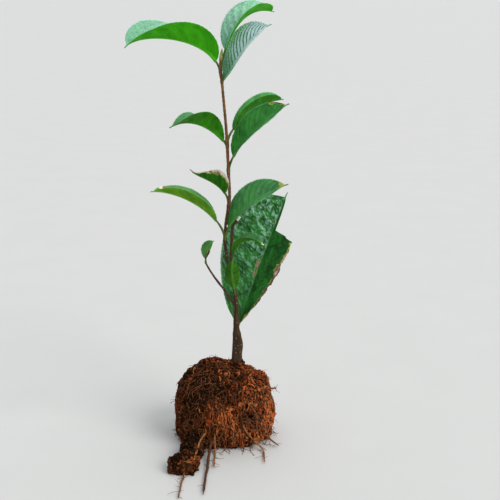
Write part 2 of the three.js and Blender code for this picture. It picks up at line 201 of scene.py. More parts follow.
def steps(tree, value, *stops):
    """Colour ramp over a value, from pairs of place and colour."""
    ramp = add(tree, "ValToRGB", {0: value})
    elements = ramp.color_ramp.elements
    while len(elements) < len(stops):
        elements.new(0.5)
    for element, (place, colour) in zip(elements, stops):
        element.position = place
        element.color = (*colour, 1) if len(colour) == 3 else colour
    return ramp.outputs["Color"]


def spread(tree, value, low, high, to_low=0.0, to_high=1.0):
    """A value's range mapped to another one."""
    sockets = {0: value, 1: low, 2: high, 3: to_low, 4: to_high}
    return add(tree, "MapRange", sockets, interpolation_type="SMOOTHSTEP").outputs[0]


def mixed(tree, share, below, above):
    """Two colours mixed by a share."""
    blend = add(tree, "Mix", {0: share}, data_type="RGBA")
    for socket, colour in ((6, below), (7, above)):
        if isinstance(colour, bpy.types.NodeSocket):
            tree.links.new(colour, blend.inputs[socket])
        else:
            blend.inputs[socket].default_value = (*colour, 1)
    return blend.outputs[2]


def bump(tree, height, depth, strength=1.0, after=None):
    """Bump of a height between 0 and 1, `depth` millimetres deep, on an earlier one."""
    sockets = {"Height": height, "Distance": depth * MM, "Strength": strength}
    if after is not None:
        sockets["Normal"] = after
    return add(tree, "Bump", sockets).outputs["Normal"]


def dress(tree, shader, **sockets):
    """Links the finished patterns to the shader's sockets."""
    for socket, value in sockets.items():
        tree.links.new(value, shader.inputs[socket.replace("_", " ")])


# %% [markdown]
# ## Leaf finishes
# A camellia leaf is leathery. Its upper face is dark and glossy with pale veins, and its
# underside is yellower and duller. Light that falls on one face glows through the other,
# which subsurface scattering gives on a real, thin solid. Each vertex of a leaf knows how
# near a vein it lies, how much painted sheen it bears (a pale blue-green painted reflection
# of the sky on the upper face) and how withered it is, so one finish serves every leaf of
# an age.

# %% colours of the leaves by age: darker and lighter blade, and vein
UPPER = {
    "young": ((0.022, 0.190, 0.060), (0.066, 0.370, 0.120), (0.120, 0.470, 0.170)),
    # The puckered leaf's vein colour is near black: painted shade in its sunken vein grooves.
    "puckered": ((0.030, 0.220, 0.080), (0.070, 0.400, 0.140), (0.008, 0.060, 0.032)),
    "grown": ((0.016, 0.170, 0.014), (0.045, 0.330, 0.036), (0.095, 0.430, 0.070)),
    "fading": ((0.035, 0.180, 0.028), (0.080, 0.300, 0.055), (0.150, 0.400, 0.100)),
    "old": ((0.007, 0.090, 0.006), (0.021, 0.200, 0.017), (0.055, 0.300, 0.045)),
}
UNDER = {
    "young": ((0.034, 0.320, 0.003), (0.062, 0.450, 0.006), (0.100, 0.520, 0.020)),
    "puckered": ((0.034, 0.320, 0.010), (0.062, 0.450, 0.020), (0.100, 0.520, 0.040)),
    "grown": ((0.020, 0.150, 0.004), (0.038, 0.230, 0.007), (0.065, 0.300, 0.018)),
    "fading": ((0.080, 0.250, 0.006), (0.140, 0.370, 0.014), (0.200, 0.430, 0.040)),
    "old": ((0.022, 0.110, 0.005), (0.045, 0.180, 0.010), (0.075, 0.240, 0.022)),
}
# Pale blue-green painted sheen, thin and thick: a painted reflection of the sky on the glossy
# upper face.
PAINTED_SHEEN_THIN, PAINTED_SHEEN_THICK = (0.400, 0.750, 0.560), (0.720, 0.940, 1.000)
YELLOWED = (0.500, 0.560, 0.100)
DEAD_DARK = (0.032, 0.018, 0.011)
DEAD_BROWN = (0.150, 0.082, 0.048)
DEAD_PALE = (0.860, 0.560, 0.520)
DEAD_WHITE = (0.900, 0.900, 0.720)


# %% one face of a leaf
def leaf_finish(name, colours, roughness, glow, sheen):
    """Finish of one side of a leaf: blade, veins, painted sheen, yellowed rim and dead tissue."""
    dark, light, vein = colours
    finish, tree, shader = new_finish(
        name, Subsurface_Weight=glow, Subsurface_Scale=0.0007, Specular_IOR_Level=sheen
    )
    shader.inputs["Subsurface Radius"].default_value = (1.0, 1.0, 0.5)
    cloudy = pattern(tree, "Noise", 9, detail=3).outputs[0]
    blade = mixed(tree, spread(tree, cloudy, 0.35, 0.65), dark, light)
    near_vein = add(tree, "Attribute", attribute_name="vein").outputs["Fac"]
    blade = mixed(tree, spread(tree, near_vein, 0.15, 1.0, 0, 0.75), blade, vein)
    speckled = pattern(tree, "Noise", 1.2, detail=3).outputs[0]
    # Painted sheen: pale blue-green mixed into the blade where the mark says, a painted reflection
    # of the sky.
    painted_sheen = add(tree, "Attribute", attribute_name="painted_sheen").outputs["Fac"]
    patchy = spread(tree, speckled, 0.36, 0.56, 0.6, 1.1)
    sheen_colour = mixed(tree, spread(tree, painted_sheen, 0.6, 1), PAINTED_SHEEN_THIN, PAINTED_SHEEN_THICK)
    share = add(tree, "Math", {0: painted_sheen, 1: patchy}, operation="MULTIPLY").outputs[0]
    blade = mixed(tree, share, blade, sheen_colour)
    withered = add(tree, "Attribute", attribute_name="withered").outputs["Fac"]
    brown = steps(tree, speckled, (0.38, DEAD_DARK), (0.62, DEAD_BROWN))
    bleached = add(tree, "Attribute", attribute_name="bleached").outputs["Fac"]
    pale = mixed(tree, spread(tree, speckled, 0.26, 0.44), DEAD_BROWN, DEAD_PALE)
    dead = mixed(tree, spread(tree, bleached, 0, 0.6), brown, pale)
    dead = mixed(tree, spread(tree, bleached, 0.6, 1), dead, DEAD_WHITE)
    yellowing = mixed(tree, spread(tree, withered, 0.34, 0.48), blade, YELLOWED)
    dying = spread(tree, withered, 0.48, 0.56)
    colour = mixed(tree, dying, yellowing, dead)
    dull = spread(tree, dying, 0, 1, roughness, 0.85)
    cells = pattern(tree, "Voronoi", 1.3, feature="DISTANCE_TO_EDGE").outputs[0]
    network = bump(tree, spread(tree, cells, 0.0, 0.14), 0.06, 0.8)
    leather = bump(tree, pattern(tree, "Noise", 0.5).outputs[0], 0.05, 0.35, network)
    dress(tree, shader, Base_Color=colour, Roughness=dull, Normal=leather)
    return finish


# The upper face shines a little, and most on the puckered leaf, which also bears the most painted
# sheen.
PLAIN_GLOSS, GLOSS = 0.20, {"puckered": 0.6}
leaf_finishes = {
    age: (
        leaf_finish(age + "_leaf_upper_face", UPPER[age], 0.36, 0.25, GLOSS.get(age, PLAIN_GLOSS)),
        leaf_finish(age + "_leaf_underside", UNDER[age], 0.55, 0.50, 0.08),
    )
    for age in UPPER
}
print("leaf finishes:", ", ".join(leaf_finishes))

# %% [markdown]
# ## Bark finishes
# The stem is brown and stained with soil at its foot, and red-brown with pale specks further
# up. The same rule with other colours serves the shoot, the leaf stalks and the bud.


# %% bark with specks, from its colour low on the plant to its colour high up
def bark_finish(name, low, high, speck, roughness, from_z=0.06, to_z=0.12):
    """Finish that runs from one colour to another with height, with streaks and specks."""
    finish, tree, shader = new_finish(name, Roughness=roughness, Specular_IOR_Level=0.2)
    where = add(tree, "TexCoord").outputs["Object"]
    height = add(tree, "SeparateXYZ", {0: where}).outputs["Z"]
    stretched = add(tree, "Mapping", {"Vector": where, "Scale": (1, 1, 0.22)}).outputs[0]
    streaks = add(tree, "TexNoise", {"Vector": stretched, "Scale": 900, "Detail": 3}).outputs[0]
    bark = mixed(tree, spread(tree, height, from_z, to_z), low, high)
    dark = mixed(tree, 0.55, bark, (0.010, 0.006, 0.004))
    streaked = mixed(tree, spread(tree, streaks, 0.32, 0.60), dark, bark)
    specks = pattern(tree, "Voronoi", 2.3).outputs[0]
    lenticels = spread(tree, specks, 0.10, 0.22, 1, 0)
    colour = mixed(tree, lenticels, streaked, speck)
    normal = bump(tree, lenticels, 0.08, 0.6, bump(tree, streaks, 0.25, 0.8))
    dress(tree, shader, Base_Color=colour, Normal=normal)
    return finish


SOIL_BROWN = (0.066, 0.034, 0.016)
bark = bark_finish(
    "stem_bark", SOIL_BROWN, (0.240, 0.100, 0.038), (0.330, 0.220, 0.120), 0.72, 0.13, 0.20
)
young_bark = bark_finish(
    "young_bark", (0.070, 0.034, 0.022), (0.085, 0.045, 0.028), (0.280, 0.200, 0.130), 0.6
)
stalk = bark_finish(
    "leaf_stalk", (0.060, 0.100, 0.022), (0.100, 0.170, 0.030), (0.160, 0.130, 0.050), 0.5
)
bud_scale = bark_finish(
    "bud_scale", (0.300, 0.190, 0.080), (0.420, 0.480, 0.150), (0.50, 0.46, 0.24), 0.55, 0.255,
    0.261,
)

# %% cut wood at the end of the pruned shoot
cut_wood, tree, shader = new_finish("cut_wood", Roughness=0.8)
fibres = pattern(tree, "Noise", 0.35, detail=2).outputs[0]
wood = mixed(tree, spread(tree, fibres, 0.35, 0.65), (0.85, 0.76, 0.70), (0.95, 0.93, 0.90))
dress(tree, shader, Base_Color=wood, Normal=bump(tree, fibres, 0.1))

# %% [markdown]
# ## The leaf rule
# The solid's leaf hangs on a cubic curve from its node to its tip. Across it, each half of
# the blade is an arc that starts at the fold and flattens outwards. The finer leaf keeps
# that curve and outline, rounds the fold, and adds what a touch would find: a raised midrib
# below, sunken side veins with the blade puffed up between them, blisters, small teeth and
# a wavy rim.

# %% sizes of the leaves, as in the solids
STEM_LINE = [
    (7.7, 46.3), (7.4, 65), (7.2, 84), (7.2, 97), (3.9, 115), (1.9, 122.5), (0, 137), (0.6, 150),
    (2.6, 162.3), (3.2, 168), (2.4, 190), (1.4, 211), (-0.5, 234), (-1.5, 245.5), (-2.2, 250),
    (-2.2, 255.5),
]
PLAIN_LEAF = dict(
    sway=0, curl=10, twist=0, fat=0.46, skew=0, uneven=0, age="grown", veins=8, ripple=0.35,
    blister=0.2, wave=0.6, painted_sheen=(0.1, 0.1), painted_sheen_start=-0.2, crest_sheen=(-0.12, 0.28), harm=(),
    rolled=None, torn=None,
)
# Each leaf lists how much painted sheen, a painted reflection of the sky, lies on each of its
# halves.
LEAVES = {
    "leaf_top_left": dict(
        at=247, heading=185, sway=-3, reach=61, rise=18, lift=84, nod=-54, hold=0.42, hang=0.22,
        petiole=10, width=34, uneven=-0.1, fold=43, roll=47, twist=-74, fat=0.49,
        skew=0.08, age="young", veins=9, ripple=0.3, blister=0.12, wave=0.4, painted_sheen=(0.6, 0.6),
    ),
    "leaf_top_right_back": dict(
        at=250, heading=21, reach=37, rise=37, lift=81, nod=-16, hold=0.45, hang=0.41, petiole=14,
        width=25, fold=37, curl=8, roll=14, twist=-11, fat=0.61, age="young", veins=8,
        ripple=0.32, wave=0.4, painted_sheen=(0.75, 0.65), painted_sheen_start=-0.9,
    ),
    "leaf_top_right_front": dict(
        at=244, heading=-27, sway=9, reach=35, rise=36, lift=47, nod=23, hold=0.37, hang=0.46,
        petiole=2, width=32, uneven=0.09, fold=21, roll=41, twist=5, fat=0.42,
        age="puckered", veins=14, ripple=0.85, painted_sheen=(1.5, 1.5), crest_sheen=(-0.3, 0),
    ),
    "leaf_upper_left": dict(
        at=203, heading=-139, sway=-9, reach=46, rise=15, lift=48, nod=-22, hold=0.36, hang=0.35,
        petiole=4, width=23, uneven=0.05, fold=49, roll=32, twist=-54, fat=0.52,
        skew=-0.11, painted_sheen=(0.15, 0.15),
    ),
    "leaf_upper_right_back": dict(
        at=205, heading=34, sway=6, reach=45, rise=25, lift=65, nod=-1, hold=0.32, hang=0.32,
        petiole=9, width=19, fold=52, roll=-17, twist=18, fat=0.58, skew=-0.06,
    ),
    "leaf_upper_right_front": dict(
        at=186, heading=-20, sway=-7, reach=41, rise=45, lift=78, nod=30, hold=0.27, hang=0.36,
        petiole=10, width=29, uneven=-0.13, fold=33, roll=42, fat=0.48, veins=11,
        ripple=0.6, painted_sheen=(0.08, 0.08),
        harm=[(0.9, 1, 0.09, 0.3, 0), (0.965, 0.2, 0.03, 0.8, 0.5), (1, 0, 0.02, 2, 0)],
    ),
    "leaf_curled_left": dict(
        at=162, heading=147, reach=31, rise=22, lift=90, nod=56, hold=0.48, hang=0.19, petiole=9,
        width=20, uneven=0.22, fold=50, roll=36, fat=0.27,
        harm=[(0.6, 1, 0.5, 0.29, 0.85), (0.2, 1, 0.2, 0.17, 0.95), (1, 0, 0.12, 2, 0.35)],
        rolled=(1, 0.74, 165),
    ),
    "leaf_low_left": dict(
        at=140, heading=-168, reach=49, rise=34, lift=81, nod=-4, hold=0.31, hang=0.3, petiole=14,
        width=20, fold=46, roll=-13, twist=24, fat=0.48, skew=0.03, age="fading",
        painted_sheen=(0.12, 0.12), harm=[(0.865, -1, 0.022, 0.36, 1), (0.865, 1, 0.02, 0.2, 0.4)],
    ),
    "leaf_low_right": dict(
        at=139, heading=-21, reach=44, rise=41, lift=86, nod=23, hold=0.26, hang=0.39, petiole=9,
        width=29, uneven=0.09, fold=27, roll=33, fat=0.45, veins=10, ripple=0.5,
        painted_sheen=(0.24, 0.2), harm=[(0.93, 0.4, 0.055, 0.9, -1), (0.95, 0.6, 0.02, 0.3, 1)],
    ),
    "leaf_small_right": dict(
        base=(4.2, 0, 124), heading=-20, reach=23, rise=14, lift=81, nod=-28, hold=0.57,
        hang=0.49, petiole=6, width=14, uneven=0.04, fold=34, roll=3, fat=0.48,
        age="old", veins=6, ripple=0.15, blister=0.1, wave=0.3, painted_sheen=(0.06, 0.06),
        harm=[(1, 0, 0.06, 2, 1)],
    ),
    "leaf_small_front": dict(
        at=98, heading=-109, reach=6, rise=29, lift=79, nod=115, hold=0.37, hang=0.43, petiole=8,
        width=11, uneven=0.03, fold=24, roll=20, twist=-16, fat=0.58, age="old",
        veins=6, ripple=0.15, blister=0.1, wave=0.25, painted_sheen=(0, 0.15),
    ),
    "leaf_large_scorched": dict(
        at=73, heading=27, sway=54, reach=39, rise=95, lift=24, nod=66, hold=0.2, hang=0.34,
        petiole=8, width=49, uneven=0.23, fold=24, curl=8, roll=29, twist=17, fat=0.64, skew=0.02,
        age="old", veins=14, ripple=0.6, blister=1.2, wave=1.2, painted_sheen=(0.7, 0.05),
        painted_sheen_start=-0.1, crest_sheen=(-0.2, 0.5), torn=(0.71, 0.12),
        harm=[
            (0.34, -1, 0.24, 0.12, 0.1), (0.47, -1, 0.06, 0.16, 0.3), (0.24, -1, 0.05, 0.12, 0.1),
            (0.57, -1, 0.05, 0.09, 0.4), (0.44, 0.05, 0.05, 0.038, 0.3),
            (0.86, -0.07, 0.02, 0.06, 0.6), (0.77, -0.06, 0.012, 0.05, 0.5),
            (0.05, -1, 0.05, 0.3, 0.6),
        ],
    ),
    "leaf_small_left": dict(
        base=(-13, 0, 123), heading=-17, reach=6, rise=16, lift=93, nod=33, hold=0.49, hang=0.29,
        petiole=3, width=10, fold=22, roll=51, twist=14, fat=0.45, age="fading",
        veins=5, ripple=0.15, blister=0.1, wave=0.25, painted_sheen=(0, 0),
        harm=[(0.2, -1, 0.3, 0.5, 0)],
    ),
}
BASE_POWER = 0.72
DRIP_SHARE, DRIP_WIDTH, DRIP_FROM = 0.042, 0.09, 0.8


# %% the midrib of a leaf
def direction(compass, slope):
    """Unit vector from a compass direction and a slope, both in degrees."""
    c, s = math.radians(compass), math.radians(slope)
    return np.array([math.cos(c) * math.cos(s), math.sin(c) * math.cos(s), math.sin(s)])


def midrib(leaf):
    """Function from shares of the leaf's length to points and directions on its midrib."""
    heights = [z for _, z in STEM_LINE]
    on_stem = (np.interp(leaf.get("at", 0), heights, [x for x, _ in STEM_LINE]), 0, leaf.get("at"))
    base = np.array(leaf.get("base") or on_stem, float)
    tip = base + leaf["reach"] * direction(leaf["heading"], 0) + (0, 0, leaf["rise"])
    chord = np.linalg.norm(tip - base)
    leaving = leaf["hold"] * chord * direction(leaf["heading"] + leaf["sway"], leaf["lift"])
    ending = leaf["hang"] * chord * direction(leaf["heading"], leaf["nod"])
    a, b, c, d = base, base + leaving, tip - ending, tip
    fine = np.linspace(0, 1, 400)

    def at(s):
        s = s[:, None]
        return a * (1 - s) ** 3 + 3 * b * s * (1 - s) ** 2 + 3 * c * s * s * (1 - s) + d * s**3

    walked = np.cumsum(np.r_[0, np.linalg.norm(np.diff(at(fine), axis=0), axis=1)])

    def line(shares):
        s = np.interp(np.asarray(shares) * walked[-1], walked, fine)
        slope = (b - a) * ((1 - s) ** 2)[:, None] + 2 * (c - b) * (s * (1 - s))[:, None]
        slope = slope + (d - c) * (s * s)[:, None]
        return at(s), slope / np.linalg.norm(slope, axis=1, keepdims=True)

    return line, walked[-1]


# %% the outline of a leaf
def half_width(t, width, fat):
    """Half width of a blade at shares t of its length: widest at `fat`, with a drip tip."""
    fall = BASE_POWER * (1 - fat) / fat
    s = np.minimum(t / (1 - DRIP_SHARE), 1)
    main = s**BASE_POWER * (1 - s) ** fall / (fat**BASE_POWER * (1 - fat) ** fall)
    tip = np.minimum((1 - t) / (1 - DRIP_FROM), 1) ** DRIP_FROM * DRIP_WIDTH
    return width / 2 * np.maximum(main, np.where(t > 0.5, tip, 0))


# %% where the side veins run
VEIN_START, VEIN_LEAN, VEIN_BOW = 0.02, 0.55, 0.55


def vein_phase(leaf, length, t, a, sign):
    """Count of side veins up to a point of the blade: whole numbers lie on a vein."""
    lean = leaf["width"] / 2 / length * (VEIN_LEAN * a + VEIN_BOW * a**3)
    drift = 0.22 * bumps(np.stack([t * 4, a, 0 * t + 3 * sign], -1), 1.0, 11)
    return (t - VEIN_START - lean) * leaf["veins"] + (0.45 if sign > 0 else 0) + drift


# %% [markdown]
# ## One leaf
# The sheet is made half by half: the angle of the section at every point is added up
# outwards from the midrib, so that a rim can roll over like a dried one. A skin on each side
# of the sheet makes a closed, solid blade.

# %% fineness and thickness of a blade
LEAST_HALF = 0.25
# Strips are narrower near the midrib, by this power.
STRIP_POWER = 1.3
# A blade up to this long is thinner. Each is thinner at its rim, and where it has dried.
SHORT_BLADE, SHORT_THICKNESS, BLADE_THICKNESS = 40, 0.36, 0.45
THINNER_RIM, THINNER_DRY = 0.55, 0.35
# Depth and width of the folds of a withered place.
SHRIVEL_DEPTH, SHRIVEL_WIDTH = 0.45, 2.2
# The midrib thins by this share to the tip, the groove above it is this share of its ridge
# below, and the ridge of a side vein is this high.
RIB_TAPER, GROOVE_SHARE, VEIN_RIDGE = 0.7, 0.3, 0.12
FOLD_ROUNDING = 0.07
TOOTH_SPACING, TOOTH_DEPTH = 2.7, 0.35
TEAR_RAGGED = 0.012
# The rim gets a painted highlight, a little paler than the blade, from this share of the half
# width outwards.
RIM_HIGHLIGHT_START, RIM_HIGHLIGHT = 0.93, 0.4
# Widths of blisters, of the waves of the rim, of the groove of a side vein and of the midrib.
BLISTERS, WAVE_WIDTH, GROOVE_WIDTH, MIDRIB_WIDTH = (3.6, 1.8), 9.0, 0.55, 0.75
# The painted sheen lies in feathery mottles along the side veins: so many from vein to vein,
# so long.
MOTTLES_A_VEIN, MOTTLE_LENGTH = 8, 1.1


# %% how withered each point of a blade is
# A patch whose paleness is below 0 has only turned yellow, up to this much withering.
YELLOW_ONLY = 0.47
# Depth, width and seed of the unevenness that makes the edge of a patch ragged.
RAGGED_EDGE = [(0.35, 0.55, 21), (0.2, 0.2, 22)]


def withering(leaf, t, across):
    """Withering and bleaching of each point, from the leaf's patches of harm."""
    place = np.stack([t * 9, across * 2, 0 * t], -1)
    ragged = sum(depth * bumps(place, wide, seed) for depth, wide, seed in RAGGED_EDGE)
    withered, bleached = np.zeros_like(t), np.zeros_like(t)
    for where, side, long, broad, pale in leaf["harm"]:
        far = np.sqrt(((t - where) / long) ** 2 + ((across - side) / broad) ** 2)
        most = 1 if pale >= 0 else YELLOW_ONLY
        inside = np.clip(1.35 - far * 0.75 + ragged, 0, most) * (far < 2.2)
        bleached = np.where(inside > withered, pale * ease(inside, 0.5, 0.7), bleached)
        withered = np.maximum(withered, inside)
    return withered, bleached


# %% the outline of half a blade, with its teeth and its tear
def torn_outline(leaf, length, rows, columns, sign):
    """Half width of a blade at each point of one half, toothed and torn off where it is."""
    width = leaf["width"] * (1 + sign * leaf["uneven"])
    smooth = half_width(rows, width, leaf["fat"] - sign * leaf["skew"])
    tooth = (rows * length / TOOTH_SPACING) % 1 * ease(smooth, 1.5, 5)
    half = smooth - TOOTH_DEPTH * ease(columns, 0.8, 1) * tooth
    if leaf["torn"] and sign < 0:
        start, strip = leaf["torn"]
        ragged = TEAR_RAGGED * bumps(columns[..., None] * [20, 0, 0], 2.5, 23)
        half = np.where(rows + ragged > start, half * strip, half)
    return np.maximum(half, LEAST_HALF)


# %% the angle of the section
def section_angle(leaf, rows, columns, sign):
    """Slope of one half's section at each point, from the fold out to a rolled rim."""
    angle = math.radians(leaf["fold"]) - math.radians(leaf["curl"]) * columns
    angle = angle * np.tanh(columns / FOLD_ROUNDING)
    if leaf["rolled"] and leaf["rolled"][0] == sign:
        _, start, turn = leaf["rolled"]
        over = ease(rows, 0.2, 0.5) * math.radians(turn)
        angle = angle - over * ease(columns, start, 1.05)
    return angle


# %% half a blade
def half_blade(leaf, length, t, a, sign):
    """Offsets across and up, relief, vein, painted sheen, and place on the blade, for one half."""
    rows, columns = np.meshgrid(t, a, indexing="ij")
    half = torn_outline(leaf, length, rows, columns, sign)
    angle = section_angle(leaf, rows, columns, sign)
    step = np.diff(columns, axis=1)
    middle = (angle[:, 1:] + angle[:, :-1]) / 2
    start = np.zeros((len(t), 1))
    out = np.concatenate([start, np.cumsum(np.cos(middle) * step, 1)], 1)
    rise = np.concatenate([start, np.cumsum(np.sin(middle) * step, 1)], 1)
    phase = vein_phase(leaf, length, rows, columns, sign)
    off_vein = np.abs(phase - np.round(phase)) * 2
    flat = np.stack([rows * length, sign * columns * leaf["width"] / 2, 0 * rows], -1)
    puff = leaf["ripple"] * (np.sqrt(off_vein) - 0.5) * (1 - 0.6 * ease(columns, 0.75, 1))
    wide, small = (bumps(flat, size, 31 + k) for k, size in enumerate(BLISTERS))
    blister = leaf["blister"] * (0.5 * wide + 0.5 * small)
    roomy = ease(half, 1.0, 6.0)
    wave = leaf["wave"] * columns**2.5 * bumps(flat * [1, 0, 0] + sign * 40, WAVE_WIDTH, 41)
    relief = roomy * ((puff + blister) * ease(columns, 0.02, 0.3) + wave)
    from_vein = off_vein / 2 / leaf["veins"] * length / GROOVE_WIDTH
    vein = np.exp(-(from_vein**2)) * (1 - 0.5 * columns)
    rib = np.exp(-((columns * half / MIDRIB_WIDTH) ** 2))
    whole_relief = leaf["ripple"] + leaf["blister"]
    outwards = columns * leaf["width"] / 2 / MOTTLE_LENGTH
    feathery = np.stack([MOTTLES_A_VEIN * phase, outwards, 0 * rows], -1)
    mottle = 0.8 * leaf["blister"] * bumps(feathery, 1, 33)
    # Crests of the relief get more painted sheen than troughs: a painted highlight on the ripples.
    lifted = (leaf["ripple"] * (off_vein - 0.5) + 0.3 * blister + mottle) / whole_relief
    rough = ease(whole_relief, 0.3, 1.0)
    crest_sheen = 1 - rough + rough * ease(lifted, *leaf["crest_sheen"])
    start = leaf["painted_sheen_start"]
    painted_sheen = leaf["painted_sheen"][0 if sign > 0 else 1] * crest_sheen * ease(rows, start, start + 0.9)
    # A painted highlight along the rim.
    painted_sheen = painted_sheen + RIM_HIGHLIGHT * ease(columns, RIM_HIGHLIGHT_START, 1)
    return half * out, half * rise, relief, np.maximum(vein * 0.8, rib), painted_sheen, rows, columns


def whole(right, left):
    """One grid from the grids of the two halves, which share the points of the midrib."""
    return np.concatenate([right[:, :0:-1], left], 1)


# %% normals of a sheet of points
def sheet_normals(sheet):
    """Unit vector out of the upper face at each point of a grid of points."""
    along, across = np.gradient(sheet, axis=0), np.gradient(sheet, axis=1)
    out = np.cross(along, across)
    return out / np.maximum(np.linalg.norm(out, axis=-1, keepdims=True), 1e-9)


# %% a whole blade
def blade(leaf, rows, strips):
    """Points, triangles, faces' sides and marks of one closed blade."""
    line, length = midrib(leaf)
    t = np.linspace(0, 1, rows + 1)
    a = np.linspace(0, 1, strips + 1) ** STRIP_POWER
    halves = [half_blade(leaf, length, t, a, sign) for sign in (-1, 1)]
    across_by, up_by, relief, vein, painted_sheen, where, edge = (whole(*pair) for pair in zip(*halves))
    side_of = np.where(np.arange(2 * strips + 1) < strips, -1, 1)
    across_by = across_by * side_of
    middle, tangent = line((leaf["petiole"] + t * (length - leaf["petiole"])) / length)
    level = direction(leaf["heading"] + 90, 0)
    level = level - (tangent @ level)[:, None] * tangent
    level /= np.linalg.norm(level, axis=1, keepdims=True)
    above = np.cross(tangent, level)
    roll = np.radians(leaf["roll"] + leaf["twist"] * t)[:, None]
    across = level * np.cos(roll) + above * np.sin(roll)
    up = above * np.cos(roll) - level * np.sin(roll)
    sheet = middle[:, None] + across_by[..., None] * across[:, None]
    sheet = sheet + up_by[..., None] * up[:, None]
    normal = sheet_normals(sheet)
    withered, bleached = withering(leaf, where, edge * side_of)
    shrivel = SHRIVEL_DEPTH * bumps(sheet, SHRIVEL_WIDTH, 51) * ease(withered, 0.45, 0.8)
    sheet = sheet + normal * (relief + shrivel)[..., None]
    thick = BLADE_THICKNESS if length > SHORT_BLADE else SHORT_THICKNESS
    thick = thick * (1 - THINNER_RIM * edge**3)
    thick = thick * (1 - THINNER_DRY * ease(withered, 0.5, 0.8))
    rib_size = MIDRIB_WIDTH * (1 - RIB_TAPER * where) * min(1, length / 60 + 0.3)
    rib = rib_size * np.exp(-((across_by / np.maximum(rib_size, 0.2)) ** 2))
    ridge = VEIN_RIDGE * vein * (edge < 0.9)
    top = sheet + normal * (thick / 2 - GROOVE_SHARE * rib)[..., None]
    bottom = sheet - normal * (thick / 2 + rib + ridge)[..., None]
    upper, lower = closed_sheet(rows + 1, 2 * strips + 1)
    side = np.r_[np.zeros(len(upper)), np.ones(len(lower))]
    marks = dict(vein=(vein, vein), withered=(withered, withered))
    marks |= dict(bleached=(bleached, bleached), painted_sheen=(painted_sheen, 0 * painted_sheen))
    marks = {mark: np.concatenate(grids).ravel() for mark, grids in marks.items()}
    points = np.concatenate([top.reshape(-1, 3), bottom.reshape(-1, 3)])
    return points, np.concatenate([upper, lower]), side, marks


# %% [markdown]
# ## Limbs
# Stem, shoot, twig, stalks and roots are all rings of points along a curve. The curve goes
# through the same points as the solid's, and each ring is turned no more than the curve is.


# %% a smooth line through points
def smooth_line(given, count):
    """Evenly spaced points on the centripetal curve through the given ones."""
    given = np.array(given, float)
    ends = np.vstack([2 * given[0] - given[1], given, 2 * given[-1] - given[-2]])
    s = np.linspace(0, 1, 40)[:, None]
    dense = []
    for p0, p1, p2, p3 in zip(ends, ends[1:], ends[2:], ends[3:]):
        d0, d1, d2 = (np.linalg.norm(b - a) ** 0.5 for a, b in ((p0, p1), (p1, p2), (p2, p3)))
        m1 = d1 * ((p1 - p0) / d0 - (p2 - p0) / (d0 + d1) + (p2 - p1) / d1)
        m2 = d1 * ((p2 - p1) / d1 - (p3 - p1) / (d1 + d2) + (p3 - p2) / d2)
        bend = (2 * p1 - 2 * p2 + m1 + m2) * s**3 + (3 * p2 - 3 * p1 - 2 * m1 - m2) * s**2
        dense.append(bend + m1 * s + p1)
    dense = np.concatenate(dense)
    walked = np.cumsum(np.r_[0, np.linalg.norm(np.diff(dense, axis=0), axis=1)])
    at = np.linspace(0, walked[-1], count)
    return np.stack([np.interp(at, walked, dense[:, k]) for k in range(3)], 1)


# %% rings round a line
def tube(line, radii, sides, relief=None):
    """Points and triangles of a closed limb; relief gives heights over its surface."""
    line = np.asarray(line, float)
    tangent = np.gradient(line, axis=0)
    tangent /= np.linalg.norm(tangent, axis=1, keepdims=True)
    first = np.cross(tangent[0], (0.3, 1, 0.2))
    normals = [first / np.linalg.norm(first)]
    for ahead in tangent[1:]:
        turned = normals[-1] - ahead * (normals[-1] @ ahead)
        normals.append(turned / np.linalg.norm(turned))
    normals = np.array(normals)
    other = np.cross(tangent, normals)
    angle = np.arange(sides) * math.tau / sides
    out = normals[:, None] * np.cos(angle)[:, None] + other[:, None] * np.sin(angle)[:, None]
    radii = np.broadcast_to(np.asarray(radii, float), len(line))[:, None, None]
    points = line[:, None] + out * radii
    if relief is not None:
        points = points + out * relief(points, angle)[..., None]
    count = points.shape[0] * sides
    points = np.concatenate([points.reshape(-1, 3), line[:1], line[-1:]])
    ring = np.arange(sides)
    beside = (ring + 1) % sides
    start = np.stack([beside, ring, np.full(sides, count)], 1)
    last = count - sides
    end = np.stack([last + ring, last + beside, np.full(sides, count + 1)], 1)
    return points, np.concatenate([grid_faces(len(line), sides, 0, True), start, end])


# %% [markdown]
# ## The thirteen leaves
# Each leaf is a blade and a stalk. The stalk starts inside the stem, thickens a little where
# it joins, and runs on under the blade until the midrib takes over.

# %% the stalk of a leaf
STALK_RADIUS, NARROW_STALK, NARROW_LEAF = 0.9, 0.6, 15
STALK_TAPER, STALK_IN_BLADE, STALK_ROWS, STALK_SIDES = 0.45, 7, 34, 12
STALK_SWELLING, SWELLING_LENGTH = 0.35, 2.2


def stalk_skin(points, angle):
    """Fine long ridges of a leaf's stalk."""
    return 0.07 * bumps(points * [1, 1, 0.3], 0.8, 61)


def stalk_of(leaf):
    """Points and triangles of a leaf's stalk, from inside the stem to under the blade."""
    line, length = midrib(leaf)
    share = np.linspace(0, (leaf["petiole"] + STALK_IN_BLADE) / length, STALK_ROWS)
    points, _ = line(share)
    thick = NARROW_STALK if leaf["width"] < NARROW_LEAF else STALK_RADIUS
    along = share / share[-1]
    radii = thick * (1 - STALK_TAPER * along) * (1 - ease(along, 0.8, 1.0) * 0.5)
    from_stem = share * length / SWELLING_LENGTH
    radii = radii + STALK_SWELLING * thick * np.exp(-(from_stem**2))
    return tube(points, radii, STALK_SIDES, stalk_skin)


